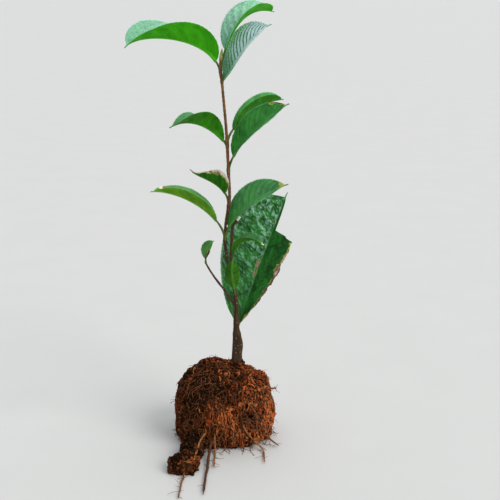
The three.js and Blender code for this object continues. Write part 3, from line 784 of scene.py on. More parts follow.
# %% grow the leaves
# Rows along a blade and strips across half of it, from the length at which they start.
FINENESS = {80: (180, 40), 60: (150, 26), 40: (120, 20), 0: (70, 14)}
for node, own in LEAVES.items():
    leaf = PLAIN_LEAF | own
    long = midrib(leaf)[1]
    rows, strips = next(fine for least, fine in FINENESS.items() if long > least)
    points, faces, side, marks = blade(leaf, rows, strips)
    stalk_points, stalk_faces = stalk_of(leaf)
    plain = np.zeros(len(stalk_points))
    piece = plant_piece(
        "camellia_" + node,
        np.concatenate([points, stalk_points]),
        np.concatenate([faces, stalk_faces + len(points)]),
        [*leaf_finishes[leaf["age"]], stalk],
        np.r_[side, np.full(len(stalk_faces), 2)],
        {mark: np.r_[values, plain] for mark, values in marks.items()},
    )
    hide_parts(node)

# %% [markdown]
# ## Stem, shoot and twig
# The stem is flat cut at the ball, wide at the collar, and swells a little where each leaf
# sits. Bark relief is a few tenths of a millimetre: long ridges, rings and small knobs.

# %% stem with bark
STEM_RADII = [
    (46.3, 4.4), (50, 3.7), (60, 2.9), (78, 2.1), (97, 1.6), (122, 1.35), (166, 1.15),
    (255.5, 0.9),
]
NODE_SWELLING, NODE_LENGTH = 0.3, 2.2
# The stem is thicker on its right side above the collar, where an old scar has grown over.
KNOB_PUSH, KNOB_X, KNOB_Z, KNOB_REACH = 1.9, (7.5, 9.5), 66, 7
# Ribs at the collar between two heights, and faint rings three millimetres apart above 100.
RIBS, RIB_DEPTH, COLLAR = 5, 0.55, (47, 64)
RING_DEPTH, RING_PHASE, RINGS_FROM = 0.05, 2.1, 100
STEM_ROWS, STEM_SIDES = 420, 28


def bark_relief(size, depth):
    """Relief of long ridges with knobs between them, for a limb."""
    def relief(points, angle):
        ridges = bumps(points * [1, 1, 0.25], size, 71)
        knobs = bumps(points, size * 0.5, 72)
        return depth * (0.65 * ridges + 0.35 * knobs)
    return relief


def stem_relief(points, angle):
    """Bark of the stem, with ribs at the collar where roots run up into it."""
    height = points[..., 2]
    collar = 1 - ease(height, *COLLAR)
    sway = 0.8 * bumps(points[..., 2:] * [1, 0, 0], 9, 73)
    ribs = RIB_DEPTH * collar * np.cos(RIBS * angle + sway)
    thin = np.interp(height, (60, 120), (1.0, 0.45))
    rings = RING_DEPTH * np.sin(height * RING_PHASE) * (height > RINGS_FROM)
    off_knob = (height - KNOB_Z) / KNOB_REACH
    knob = KNOB_PUSH * ease(points[..., 0], *KNOB_X) * np.exp(-(off_knob**2))
    return bark_relief(1.7, 0.32)(points, angle) * thin + ribs + rings + knob


# Shares of the solid's radius by height: bark knobs stand out of it, most of all at the fork.
STEM_SHARES = [(60, 1.05), (90, 0.9), (105, 0.75), (145, 0.75), (165, 0.92)]
line = smooth_line([(x, 0, z) for x, z in STEM_LINE], STEM_ROWS)
node_heights = [leaf["at"] for leaf in LEAVES.values() if "at" in leaf]
radii = np.interp(line[:, 2], *zip(*STEM_RADII)) * np.interp(line[:, 2], *zip(*STEM_SHARES))
swelling = [np.exp(-(((line[:, 2] - at) / NODE_LENGTH) ** 2)) for at in node_heights]
radii += NODE_SWELLING * np.max(swelling, axis=0)
points, faces = tube(line, radii, STEM_SIDES, stem_relief)
stem = plant_piece("camellia_stem", points, faces, [bark])
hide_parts("stem")

# %% pruned shoot and left twig
SIDE_LIMBS = {
    "cut_shoot": (
        (1.1, 0.95),
        [
            (4, 0, 116), (3.9, 0, 126), (4.5, 0, 139), (5.3, 0, 148.5), (7.4, 0, 151.6),
            (9.9, 0, 155),
        ],
    ),
    "left_twig": ((0.9, 0.6), [(7.2, 0, 92), (0, 1, 103), (-8, 1, 114), (-13, 0, 123)]),
}
LIMB_ROWS, LIMB_SIDES = 110, 16
# The cut shows pale wood this far from its middle.
CUT_REACH = 3.2
for node, ((wide, slim), given) in SIDE_LIMBS.items():
    line = smooth_line(given, LIMB_ROWS)
    radii = np.linspace(wide, slim, LIMB_ROWS)
    points, faces = tube(line, radii, LIMB_SIDES, bark_relief(1.2, 0.16))
    pale = np.zeros(len(faces))
    if node == "cut_shoot":
        pale[np.linalg.norm(points[faces].mean(1) - line[-1], axis=1) < CUT_REACH] = 1
    piece = plant_piece("camellia_" + node, points, faces, [young_bark, cut_wood], pale)
    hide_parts(node)

# %% [markdown]
# ## The bud
# The bud at the top is a slim spindle wrapped in pointed scales. Each scale is a curved
# shield that starts at a ring and hugs the spindle up to its own point.

# %% bud and its scales
BUD_LENGTH, BUD_RADIUS, BUD_LEAN, BUD_SUNK = 9.5, 0.95, 7, 0.2
BUD_OUTLINE = [(0, 0.62), (0.3, 1), (0.6, 0.85), (0.88, 0.4), (1, 0)]
SCALE_ROWS, SCALE_COLUMNS, SCALE_THICKNESS = 15, 11, 0.13
# Scales start one above another, in shares of the bud's length, and face almost opposite ways.
SCALES, SCALE_FOOT, SCALE_TOP, SCALE_GAP = 5, 0.02, 0.50, 0.13


def bud_radius(share):
    """Radius of the bud at a share of its length."""
    return BUD_RADIUS * np.interp(share, *zip(*BUD_OUTLINE))


def bud_scale_at(start, end, turn, lift):
    """One scale of the bud, from a share of its length to another, facing `turn` radians."""
    along, across = np.linspace(0, 1, SCALE_ROWS), np.linspace(-1, 1, SCALE_COLUMNS)
    v, w = np.meshgrid(along, across, indexing="ij")
    share = start + (end - start) * v
    facing = turn + 1.9 * (1 - v**1.6) ** 0.6 * w
    layers = []
    for skin in (SCALE_THICKNESS, 0):
        radius = bud_radius(share) + lift * (1 - v) ** 0.5 + skin * (1 - 0.8 * w**2) + 0.02
        place = [radius * np.cos(facing), radius * np.sin(facing), share * BUD_LENGTH]
        layers.append(np.stack(place, -1).reshape(-1, 3))
    faces = np.concatenate(closed_sheet(SCALE_ROWS, SCALE_COLUMNS))[:, ::-1]
    return np.concatenate(layers), faces


share = np.linspace(0, 1, 30)
core_line = np.stack([0 * share, 0 * share, share * BUD_LENGTH], 1)
core = tube(core_line, np.maximum(bud_radius(share), 0.03), 14)
scales = []
for i in range(SCALES):
    start, end = SCALE_FOOT + SCALE_GAP * i, min(SCALE_TOP + SCALE_GAP * i, 0.97)
    scales.append(bud_scale_at(start, end, 1.2 + i * math.pi * 0.97, 0.10))
points, faces, _ = joined([core, *scales])
c, s = math.cos(math.radians(BUD_LEAN)), math.sin(math.radians(BUD_LEAN))
lean = np.array([[c, 0, s], [0, 1, 0], [-s, 0, c]])
foot = np.array([STEM_LINE[-1][0], 0, STEM_LINE[-1][1] - BUD_SUNK])
bud = plant_piece("camellia_bud", points @ lean.T + foot, faces, [bud_scale])
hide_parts("terminal_bud")

# %% [markdown]
# ## Soil and root finishes
# The soil is red-brown clay. Its four colours are partly its own tones and partly painted
# light and shade: the dark ones stand for shade, the orange one for light.
# Crumbs and rootlets are many small things, joined into one mesh for each kind, so their
# colours are plain ones, dealt out one by one, with a fine grain on top.

# %% soil colours, from the dark one for painted shade to the orange one for painted light
# The darkest colour also serves as painted shade and the orange one as painted light.
SOIL_COLOURS = {
    "shaded_dark": ((0.010, 0.004, 0.002), (0.034, 0.014, 0.005)),
    "brown": ((0.048, 0.015, 0.005), (0.130, 0.040, 0.012)),
    "red": ((0.150, 0.032, 0.008), (0.350, 0.075, 0.019)),
    "lit_tone": ((0.320, 0.078, 0.020), (0.600, 0.180, 0.055)),
}


def soil_finish(name, dark, light):
    """Matt, gritty finish between two browns."""
    finish, tree, shader = new_finish(name, Roughness=0.95, Specular_IOR_Level=0.05)
    grit = pattern(tree, "Noise", 0.9, detail=4).outputs[0]
    colour = mixed(tree, spread(tree, grit, 0.35, 0.68), dark, light)
    dress(tree, shader, Base_Color=colour, Normal=bump(tree, grit, 0.35))
    return finish


crumb_finishes = [soil_finish("soil_" + key, *pair) for key, pair in SOIL_COLOURS.items()]

# %% the body of the ball, with painted shade in its hollows
soil, tree, shader = new_finish("soil_body", Roughness=0.96, Specular_IOR_Level=0.1)
patches = pattern(tree, "Noise", 7, detail=4).outputs[0]
earth = steps(
    tree, patches, (0.35, SOIL_COLOURS["shaded_dark"][0]), (0.52, SOIL_COLOURS["shaded_dark"][1]),
    (0.68, SOIL_COLOURS["brown"][1]),
)
# Points low between the pebbles get the darkest colour: painted shade in the hollows.
raised = add(tree, "Attribute", attribute_name="raised").outputs["Fac"]
earth = mixed(tree, spread(tree, raised, 0.4, 0.9), SOIL_COLOURS["shaded_dark"][0], earth)
grit = pattern(tree, "Noise", 0.8, detail=5).outputs[0]
dress(tree, shader, Base_Color=earth, Normal=bump(tree, grit, 0.5))

# %% roots, from pale gold to dark red
ROOT_COLOURS = {
    "gold": ((0.170, 0.062, 0.018), (0.370, 0.165, 0.056)),
    "brown": ((0.100, 0.034, 0.012), (0.240, 0.082, 0.027)),
    "dark": ((0.042, 0.016, 0.009), (0.130, 0.045, 0.022)),
}


def root_finish(name, dark, light):
    """Finish of a root: paler on its skin, with soil stuck in its folds."""
    finish, tree, shader = new_finish(name, Roughness=0.8, Specular_IOR_Level=0.2)
    skin = pattern(tree, "Noise", 1.4, detail=4).outputs[0]
    colour = mixed(tree, spread(tree, skin, 0.36, 0.60), dark, light)
    dress(tree, shader, Base_Color=colour, Normal=bump(tree, skin, 0.2))
    return finish


root_finishes = {key: root_finish(key + "_root", *pair) for key, pair in ROOT_COLOURS.items()}

# %% [markdown]
# ## The ball of soil
# The solid is a rounded block with a flat underside, pushed out or in round a few places. The
# finer one starts from the same rule, is heaped with pebbles of three sizes, and carries
# loose crumbs and clotted strands of its own soil.

# %% the lumps, as in the solids: each swelling is a place, its reach and its push
LUMPS = {
    "root_ball": dict(
        middle=(-1.3, 0, 22), radii=(32, 29.3, 29), roundness=0.7, shoulder=0.8, foot=0.5,
        relief=1.3, seed=2.2,
        swellings=[
            ((24, 0, 44), 8, 3), ((16, 8, 49), 10, -5), ((-27, -4, 42), 11, 2),
            ((29, -8, 10), 13, 3.2), ((-29, -10, 8), 10, 1.5), ((4, -27, 2), 16, 1.5),
            ((-1.5, -25, 40), 6, -3), ((15.4, -27, 22), 5, -3),
            # These three are in the finer ball alone, for its crumbly upper corners.
            ((-24, -4, 47), 7, -3.5), ((14, -4, 48), 4, -2.5), ((25, -4, 42), 5, 1.5),
        ],
    ),
    "soil_clod": dict(
        middle=(-26.3, -53, 0), radii=(9.3, 12, 8.8), roundness=0.8, shoulder=0.8, foot=0.8,
        relief=1.2, seed=5.1, swellings=[((-31, -60, 5), 5, 1.4), ((-31, -44, 6), 5, -2)],
    ),
    "clod_neck": dict(
        middle=(-22, -37, 1), radii=(6.3, 12, 9.5), roundness=0.8, shoulder=0.8, foot=0.8,
        relief=0.9, seed=7.4, swellings=[((-27, -42, 5), 5, 1.2)],
    ),
}


# %% the lump rule
def crumble(d, seed):
    """The solid's own relief in a direction from the middle of a lump."""
    x, y, z = d.T

    def swell(k, h):
        east_west = np.sin(x * k + seed + h)
        north_south = np.sin(y * k * 1.13 + seed * 1.7 - h)
        return east_west * north_south * np.sin(z * k * 0.91 + seed * 0.6 + 2 * h)

    return 0.55 * swell(3.1, 0.4) + 0.5 * swell(6.7, 1.9) + 0.4 * swell(12.3, 3.2)


def on_lump(size, d):
    """Points of a lump's surface in unit directions d."""
    x, y, z = (np.abs(d) / size["radii"]).T
    power = size["roundness"]
    profile = np.where(d[:, 2] > 0, size["shoulder"], size["foot"])
    plan = x ** (2 / power) + y ** (2 / power)
    smooth = (plan ** (power / profile) + z ** (2 / profile)) ** (-profile / 2)
    place = size["middle"] + d * smooth[:, None]
    pushed = size["relief"] * crumble(d, size["seed"])
    for at, reach, push in size["swellings"]:
        away = np.linalg.norm(place - at, axis=1) / reach
        pushed = pushed + push * np.exp(-(away**2))
    return size["middle"] + d * (smooth + pushed)[:, None]


# %% an even ball of triangles
def even_ball(fineness):
    """Unit directions and triangles of an icosahedron split again and again."""
    g = (1 + 5**0.5) / 2
    points = np.array([
        (-1, g, 0), (1, g, 0), (-1, -g, 0), (1, -g, 0), (0, -1, g), (0, 1, g),
        (0, -1, -g), (0, 1, -g), (g, 0, -1), (g, 0, 1), (-g, 0, -1), (-g, 0, 1),
    ])
    faces = np.array([
        (0, 11, 5), (0, 5, 1), (0, 1, 7), (0, 7, 10), (0, 10, 11), (1, 5, 9), (5, 11, 4),
        (11, 10, 2), (10, 7, 6), (7, 1, 8), (3, 9, 4), (3, 4, 2), (3, 2, 6), (3, 6, 8),
        (3, 8, 9), (4, 9, 5), (2, 4, 11), (6, 2, 10), (8, 6, 7), (9, 8, 1),
    ])
    for _ in range(fineness):
        edges = np.sort(np.concatenate([faces[:, [0, 1]], faces[:, [1, 2]], faces[:, [2, 0]]]), 1)
        pairs, where = np.unique(edges, axis=0, return_inverse=True)
        ab, bc, ca = np.split(where.ravel() + len(points), 3)
        points = np.concatenate([points, points[pairs].mean(1)])
        a, b, c = faces.T
        quarters = ((a, ab, ca), (b, bc, ab), (c, ca, bc), (ab, bc, ca))
        faces = np.concatenate([np.stack(quarter, 1) for quarter in quarters])
    return points / np.linalg.norm(points, axis=1, keepdims=True), faces


def point_normals(points, faces):
    """Unit normals of the points of a closed mesh."""
    a, b, c = points[faces].transpose(1, 0, 2)
    flat = np.cross(b - a, c - a)
    out = np.zeros_like(points)
    for corner in range(3):
        np.add.at(out, faces[:, corner], flat)
    return out / np.maximum(np.linalg.norm(out, axis=1, keepdims=True), 1e-9)


# %% heap pebbles on the lumps
STEM_FOOT = np.array([7.7, 0, 46.3])
COLLAR_HOLLOW, COLLAR_REACH = 0.6, 6
# How far the body lies inside the solid, so that its crumbs and strands reach the outline.
BODY_INSET = 4.2
# Pebbles of each size: how wide and high, their share in how raised a point is, and a seed.
PEBBLES = [(6.5, 1.6, 0.5, 81), (3.0, 1.6, 0.3, 82), (1.5, 0.9, 0.2, 83)]
HUMP_WIDTH, HUMP_HEIGHT = 8, 1.6


def humps(points):
    """Height of the ball's low, wide humps, which its crumbs and strands follow."""
    return HUMP_HEIGHT * bumps(points, HUMP_WIDTH, 84)


def heaped(size, fineness, depth):
    """A lump with the soil's relief, flat where it stands, and how raised each point is."""
    d, faces = even_ball(fineness)
    points = on_lump(size, d)
    normal = point_normals(points, faces)
    height, raised = 0, 0
    for wide, high, share, seed in PEBBLES:
        heap = pebbles(points, wide, seed)
        height, raised = height + high * heap, raised + share * heap
    height = height - BODY_INSET + humps(points)
    from_stem = np.linalg.norm(points - STEM_FOOT, axis=1) / COLLAR_REACH
    height = depth * height - COLLAR_HOLLOW * np.exp(-(from_stem**2))
    points = points + normal * height[:, None]
    points[:, 2] = np.maximum(points[:, 2], 0)
    return points, faces, raised


points, faces, raised = heaped(LUMPS["root_ball"], 5, 1.0)
ball = plant_piece("camellia_root_ball", points, faces, [soil], 0, {"raised": raised})
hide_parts("root_ball")
clod_parts = [heaped(LUMPS[key], 4, 0.6) for key in ("soil_clod", "clod_neck")]
points, faces, _ = joined([part[:2] for part in clod_parts])
raised = np.concatenate([part[2] for part in clod_parts])
clod = plant_piece("camellia_soil_clod", points, faces, [soil], 0, {"raised": raised})
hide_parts("soil_clod")

# %% [markdown]
# ## Crumbs
# A crumb is a small ball of triangles, stretched, turned and dented at random. All of them
# are made at once as one array. They sit half sunk in the surface, coarse ones first.


# %% many crumbs
CRUMB_STRETCH, DENT_DEPTH, DENT_WIDTH = (0.5, 1.4), 0.8, 0.8


def crumbs(centres, sizes, fineness, seed):
    """Points and triangles of irregular crumbs at the given centres."""
    random = np.random.default_rng(seed)
    shape, faces = even_ball(fineness)
    count = len(centres)
    somewhere = shape[None] + random.uniform(0, 30, (count, 1, 3))
    dents = 1 + DENT_DEPTH * bumps(somewhere, DENT_WIDTH, seed)
    grown = shape[None] * random.uniform(*CRUMB_STRETCH, (count, 1, 3)) * dents[..., None]
    turn = np.linalg.qr(random.normal(size=(count, 3, 3)))[0]
    turn *= np.sign(np.linalg.det(turn))[:, None, None]
    placed = np.einsum("nij,nkj->nki", turn, grown) * sizes[:, None, None] + centres[:, None]
    placed[..., 2] = np.maximum(placed[..., 2], 0.02)
    start = np.arange(count)[:, None, None] * len(shape)
    return placed.reshape(-1, 3), (faces[None] + start).reshape(-1, 3), len(faces)


STEM_CLEAR = 4


def over_ball(size, count, random, lowest=0.6):
    """Random points over a lump, clear of floor and stem, with their directions outwards."""
    d = random.normal(size=(4 * count, 3))
    d /= np.linalg.norm(d, axis=1, keepdims=True)
    points = on_lump(size, d)
    kept = points[:, 2] > lowest
    clear = np.linalg.norm(points - STEM_FOOT, axis=1) > STEM_CLEAR
    points = points[kept & clear][:count]
    out = points - np.array(size["middle"])
    return points, out / np.linalg.norm(out, axis=1, keepdims=True)


# The soil is painted lighter to the right and darker higher up, as light and shade fall on it,
# by one colour for so many millimetres. Humps are painted lighter and hollows darker, as lit
# and shaded, and the tone also varies by chance.
BASE_TONE, LIT_TO_THE_RIGHT, SHADED_UPWARDS = 2.2, 24, 36
HUMPS_LIT, CHANCE = 0.7, 0.8
# Painted shade in dark hollows and corners, then one lighter place: where, how far it reaches,
# how much lighter.
SHADED_SPOTS = [
    ((-2.5, -25, 41), 6.5, -3), ((15.4, -27, 22), 6, -3), ((-14, -24, 10), 7, -3),
    ((-18, -22, 40), 11, -0.8), ((25, -6, 44), 9, -0.7), ((-1, -28, 29), 11, 1.2),
]


def soil_shade(points, random, lifted=0.0):
    """Which of the four soil colours each crumb gets, with painted shade at the top left and deep
    in.
    """
    lit_tone = BASE_TONE + points[:, 0] / LIT_TO_THE_RIGHT - points[:, 2] / SHADED_UPWARDS
    lit_tone = lit_tone + HUMPS_LIT * humps(points)
    for at, reach, lighter_by in SHADED_SPOTS:
        lit_tone += lighter_by * np.exp(-((np.linalg.norm(points - at, axis=1) / reach) ** 2))
    return np.clip(np.round(lit_tone + lifted + random.normal(0, CHANCE, len(points))), 0, 3)


# %% scatter the crumbs
# How many, the least and the greatest radius, fineness and seed.
CRUMBS = {
    "camellia_coarse_crumbs": (2350, (0.6, 1.35), 1, 101),
    "camellia_fine_crumbs": (6500, (0.3, 0.75), 0, 102),
}
# Crumbs that stand further out are painted lighter and sunken ones darker: painted light and
# shade.
CRUMB_LIFT, CRUMB_SINK, LIFTED_CRUMB_LIT = 1.3, 1.5, 1.2
for name, (count, (small, large), fineness, seed) in CRUMBS.items():
    random = np.random.default_rng(seed)
    centres, out = over_ball(LUMPS["root_ball"], count, random)
    sizes = small + (large - small) * random.random(len(centres)) ** 2
    lift = random.uniform(-1, 1, len(centres))
    height = CRUMB_LIFT * lift - CRUMB_SINK + humps(centres)
    centres = centres + out * height[:, None]
    points, faces, each = crumbs(centres, sizes, fineness, seed)
    shade = np.repeat(soil_shade(centres, random, LIFTED_CRUMB_LIT * lift), each)
    piece = plant_piece(name, points, faces, crumb_finishes, shade)

# %% crumbs at the stem's foot
# They lie in a ring round the stem and are piled up against it.
FOOT_CRUMBS, FOOT_SIZES, RING_INSIDE, RING_BREADTH = 260, (0.35, 1.1), 3.6, 3.0
RING_RISE, PILE_HEIGHT = 3.2, 4
random = np.random.default_rng(104)
turn, far = random.uniform(0, math.tau, FOOT_CRUMBS), random.uniform(0, 1, FOOT_CRUMBS)
out = np.stack([np.cos(turn), np.sin(turn), 0 * turn], 1)
centres = STEM_FOOT + out * (RING_INSIDE + RING_BREADTH * far)[:, None]
rise = RING_RISE + PILE_HEIGHT * (1 - far) ** 2 - far
centres[:, 2] += rise + random.normal(0, 0.4, FOOT_CRUMBS)
points, faces, each = crumbs(centres, random.uniform(*FOOT_SIZES, FOOT_CRUMBS), 1, 104)
# No crumb here or on the clod gets the lightest of the four colours.
shade = np.clip(soil_shade(centres, random, -0.3), 0, 2)
piece = plant_piece("camellia_foot_crumbs", points, faces, crumb_finishes, np.repeat(shade, each))

# %% crumbs of the clod
# How much lighter each lump of the clod is than its place makes it: the neck is darker.
CLOD_LIGHTER, CLOD_CRUMBS = {"soil_clod": -0.2, "clod_neck": -1.5}, 300
CLOD_SIZES, CLOD_HEIGHTS = (0.4, 1.5), (-0.7, 0.4)
random = np.random.default_rng(103)
spots = [over_ball(LUMPS[key], CLOD_CRUMBS, random, 0.4) for key in CLOD_LIGHTER]
centres = [p + o * random.uniform(*CLOD_HEIGHTS, (len(p), 1)) for p, o in spots]
centres = np.concatenate(centres)
points, faces, each = crumbs(centres, random.uniform(*CLOD_SIZES, len(centres)), 1, 103)
lighter_by = np.repeat(list(CLOD_LIGHTER.values()), [len(p) for p, _ in spots])
shade = np.clip(soil_shade(centres, random, lighter_by), 0, 2)
piece = plant_piece("camellia_clod_crumbs", points, faces, crumb_finishes, np.repeat(shade, each))

# %% [markdown]
# ## Roots
# The nine roots of the solid follow its curves, with a skin, a little wobble and hairs.
# Hundreds of rootlets walk over the ball, mostly downwards, and dip in and out of the
# crumbs. Short ones are clotted with soil, which gives the ball its wormy look. Some stand
# off it or lie on the ground round its foot.

# %% the nine roots
# Colour, radius at the start and at the end, and the points that the root goes through.
ROOTS = {
    "root_front_gold": ("gold", (0.8, 0.5), [
        (-12.2, -25, 17), (-13.3, -28.3, 12.6), (-15.4, -31, 10.4), (-16.6, -37, 10.2),
        (-17.6, -43.6, 8.6), (-19, -49, 6.8), (-19.6, -56.9, 7), (-22.4, -61, 7.4),
        (-26.2, -60.6, 8.2)]),
    "root_front_middle": ("gold", (0.7, 0.5), [
        (-6.4, -25, 17), (-6.8, -28.6, 13), (-7.2, -29, 7.3), (-6.8, -32, 2), (-6.6, -56.7, 1.3)]),
    "root_front_dark": ("dark", (1.2, 0.8), [
        (-8.5, -23, 9), (-10, -33, 4.6), (-10.8, -51.8, 1.8), (-12, -91.4, 1.2)]),
    "root_from_clod": ("brown", (0.8, 0.5), [
        (-25, -54, 5), (-25.4, -66, 1.8), (-26.4, -80, 1.1), (-27, -96, 1)]),
    "root_right_gold": ("soiled", (0.85, 0.55), [
        (3.2, -23.5, 39.5), (5.4, -27.4, 35), (8.6, -28.6, 29.6), (11.2, -28.9, 23),
        (12.3, -28.6, 17.8), (15, -27.9, 12.4), (18.6, -26.8, 7.2), (24.6, -29.4, 1.9),
        (26.4, -50, 1.2)]),
    "root_right_side": ("gold", (0.6, 0.45), [
        (18.6, -26.8, 7.2), (22.8, -24, 6.6), (26.6, -19.6, 6.8)]),
    "root_right_upper": ("brown", (0.7, 0.5), [
        (13, -23, 36.5), (14.8, -26.4, 33.4), (19.6, -26.2, 28), (21.3, -26, 22),
        (21, -26, 16.6), (22.4, -24.8, 11.2)]),
    "root_right_corner": ("brown", (0.8, 0.5), [(24, -14, 8), (29, -20, 5.4), (36.6, -25, 1.3)]),
    "root_right_stub": ("brown", (0.8, 0.6), [(23, -13, 36.5), (29, -13, 38), (35, -12, 38.2)]),
}
# A real root is a little thinner than the solid, which has its hairs and soil to allow for.
ROOT_SHARE, ROOT_WOBBLE, ROOT_UNEVENNESS, ROOT_END_THINNER = 0.88, 0.4, 0.15, 0.75
# A soiled root lies deep in the soil, caked with it, for its first rows and is gold after them.
SOILED_ROWS, SOILED_DEPTH, CAKED_UNEVENNESS, ROOT_ROWS, ROOT_SIDES = 44, 1.5, 0.6, 120, 12
HAIRS, HAIRY_ROWS, HAIR_LENGTHS, HAIR_RADII = 9, (25, 118), (3, 9), (0.2, 0.07)


def thin_tube(path, wide, slim, sides=5, relief=None):
    """A hair or rootlet that tapers along a path and never sinks into the floor."""
    radii = np.linspace(wide, slim, len(path))
    path = path.copy()
    path[:, 2] = np.maximum(path[:, 2], radii)
    return tube(path, radii, sides, relief)


def wander(start, heading, length, random, fall=0.0, turn=0.5, step=0.8):
    """A path that starts at a point and strays from its heading, step by step."""
    points, at, way = [start], start, heading / np.linalg.norm(heading)
    for _ in range(max(int(length / step), 3)):
        way = way + random.normal(0, turn, 3) * step / 2 + np.array([0, 0, -fall])
        way /= np.linalg.norm(way)
        at = at + way * step
        at = np.array([at[0], at[1], max(at[2], 0.15)])
        points.append(at)
    return np.array(points)


for number, (node, (tint, (wide, slim), given)) in enumerate(ROOTS.items()):
    random = np.random.default_rng(200 + number)
    line = smooth_line(given, ROOT_ROWS)
    along = np.linspace(0, 1, ROOT_ROWS)
    sway = [bumps(line + 50 * k, 5, 210 + number) for k in range(3)]
    line = line + ROOT_WOBBLE * np.sin(math.pi * along)[:, None] * np.stack(sway, 1)
    uneven = 1 + ROOT_UNEVENNESS * bumps(line, 3, 220)
    radii = ROOT_SHARE * (wide + (slim - wide) * along) * uneven
    radii *= 1 - ROOT_END_THINNER * ease(along, 0.9, 1)
    if tint == "soiled":
        caked = 1 - ease(np.arange(ROOT_ROWS), SOILED_ROWS - 20, SOILED_ROWS)
        radii *= 1 + CAKED_UNEVENNESS * caked * bumps(line, 1.6, 221)
        line[:, 1] += SOILED_DEPTH * caked
    line[:, 2] = np.maximum(line[:, 2], radii * 0.95)
    parts = [tube(line, radii, ROOT_SIDES, bark_relief(0.9, 0.13))]
    for spot in random.integers(*HAIRY_ROWS, HAIRS):
        sideways = np.cross(line[spot] - line[spot - 1], random.normal(size=3))
        length = random.uniform(*HAIR_LENGTHS)
        hair = wander(line[spot], sideways, length, random, fall=0.12)
        parts.append(thin_tube(hair, *HAIR_RADII, 4))
    points, faces, owner = joined(parts)
    points[:, 2] = np.maximum(points[:, 2], 0.01)
    tints = [root_finishes["gold" if tint == "soiled" else tint], crumb_finishes[1]]
    in_soil = (faces.min(1) < SOILED_ROWS * ROOT_SIDES) * (owner == 0) * (tint == "soiled")
    piece = plant_piece("camellia_" + node, points, faces, tints, in_soil)
    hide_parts(node)


# %% paths that walk over the ball
BALL_RADIUS = 30
# The heights at which paths start are spread by the first and lowered by the second, and their
# first way strays so much from straight down.
START_SPREAD, START_DROP, FIRST_STRAY = 0.9, 0.35, 0.8


def walkers(count, steps_taken, stride, random, fall=0.12, stray=0.45):
    """Paths over the ball's surface: count by steps by 3, and the direction out at each."""
    ball_size = LUMPS["root_ball"]
    d = random.normal(size=(count, 3))
    d[:, 2] = np.abs(d[:, 2]) * START_SPREAD - START_DROP
    d /= np.linalg.norm(d, axis=1, keepdims=True)
    way = random.normal(0, FIRST_STRAY, (count, 3)) + np.array([0, 0, -1.0])
    paths, outward = [], []
    for _ in range(steps_taken):
        way = way + random.normal(0, stray, (count, 3)) + np.array([0, 0, -fall])
        way -= d * np.sum(way * d, 1, keepdims=True)
        way /= np.linalg.norm(way, axis=1, keepdims=True)
        d = d + way * stride / BALL_RADIUS
        d /= np.linalg.norm(d, axis=1, keepdims=True)
        paths.append(on_lump(ball_size, d))
        outward.append(d)
    return np.stack(paths, 1), np.stack(outward, 1)


def on_the_ball(path):
    """How many points of a path come before it reaches the floor or the stem."""
    at_stem = np.linalg.norm(path - STEM_FOOT, axis=1) < STEM_CLEAR + 0.5
    stop = (path[:, 2] <= 0.2) | at_stem
    return int(np.argmax(stop)) if stop.any() else len(path)


# %% short strands clotted with soil
STRANDS, STRAND_STEPS, STRAND_STRIDE, STRAND_RADII = 1900, 12, 0.95, (0.25, 0.6)
STRAND_LIFT, STRAND_SINK, STRAND_TAPER, CLOT_DEPTH = 0.9, 1.0, 0.8, 0.35
# A strand is bent like this stretch of a wave, in radians. One that stands out further is
# painted lighter and a sunken one darker, as painted light and shade, and all are shifted a
# little in tone.
STRAND_ARCH, ARCH_FROM, ARCH_TO = 0.7, -1.2, 3.6
LIFTED_STRAND_LIT, STRAND_TONE_SHIFT = 0.9, -0.2
# The right side and the top of the ball are more crumbly than wormy: a share has no strands.
CRUMBLY_SHARE, CRUMBLY_FROM, CRUMBLY_TO = 0.6, 18, 30


def clots(points, angle):
    """Soil stuck to a strand."""
    return CLOT_DEPTH * bumps(points, 1.0, 92)


random = np.random.default_rng(310)
parts, lifts = [], []
for path, out in zip(*walkers(STRANDS, STRAND_STEPS, STRAND_STRIDE, random, 0.35, 0.2)):
    last = min(on_the_ball(path), random.integers(5, STRAND_STEPS + 1))
    lift = random.uniform(-1, 1)
    to_the_right = ease(path[0, 0] + path[0, 2] / 2, CRUMBLY_FROM, CRUMBLY_TO)
    if random.random() < CRUMBLY_SHARE * to_the_right:
        last = 0
    arch = STRAND_ARCH * np.sin(np.linspace(ARCH_FROM, ARCH_TO, last))
    wide = random.uniform(*STRAND_RADII)
    if last > 3:
        rise = STRAND_LIFT * lift - STRAND_SINK + arch + humps(path[:last])
        path = path[:last] + out[:last] * rise[:, None]
        parts.append(thin_tube(path, wide, wide * STRAND_TAPER, 5, clots))
        lifts.append(lift)
points, faces, owner = joined(parts)
points[:, 2] = np.maximum(points[:, 2], 0.01)
starts = np.array([part[0][0] for part in parts])
lighter_by = LIFTED_STRAND_LIT * np.array(lifts) + STRAND_TONE_SHIFT
shade = soil_shade(starts, random, lighter_by)
piece = plant_piece("camellia_soil_strands", points, faces, crumb_finishes, shade[owner])

# %% long rootlets on the ball
ROOTLETS, ROOTLET_STEPS, ROOTLET_STRIDE, ROOTLET_RADII = 620, 26, 1.1, (0.14, 0.34)
# They weave in and out of the soil, a little deeper than they stand out.
WEAVE, WEAVE_SINK, WEAVE_TURN, ROOTLET_TAPER = 0.7, 0.3, 0.55, 0.4
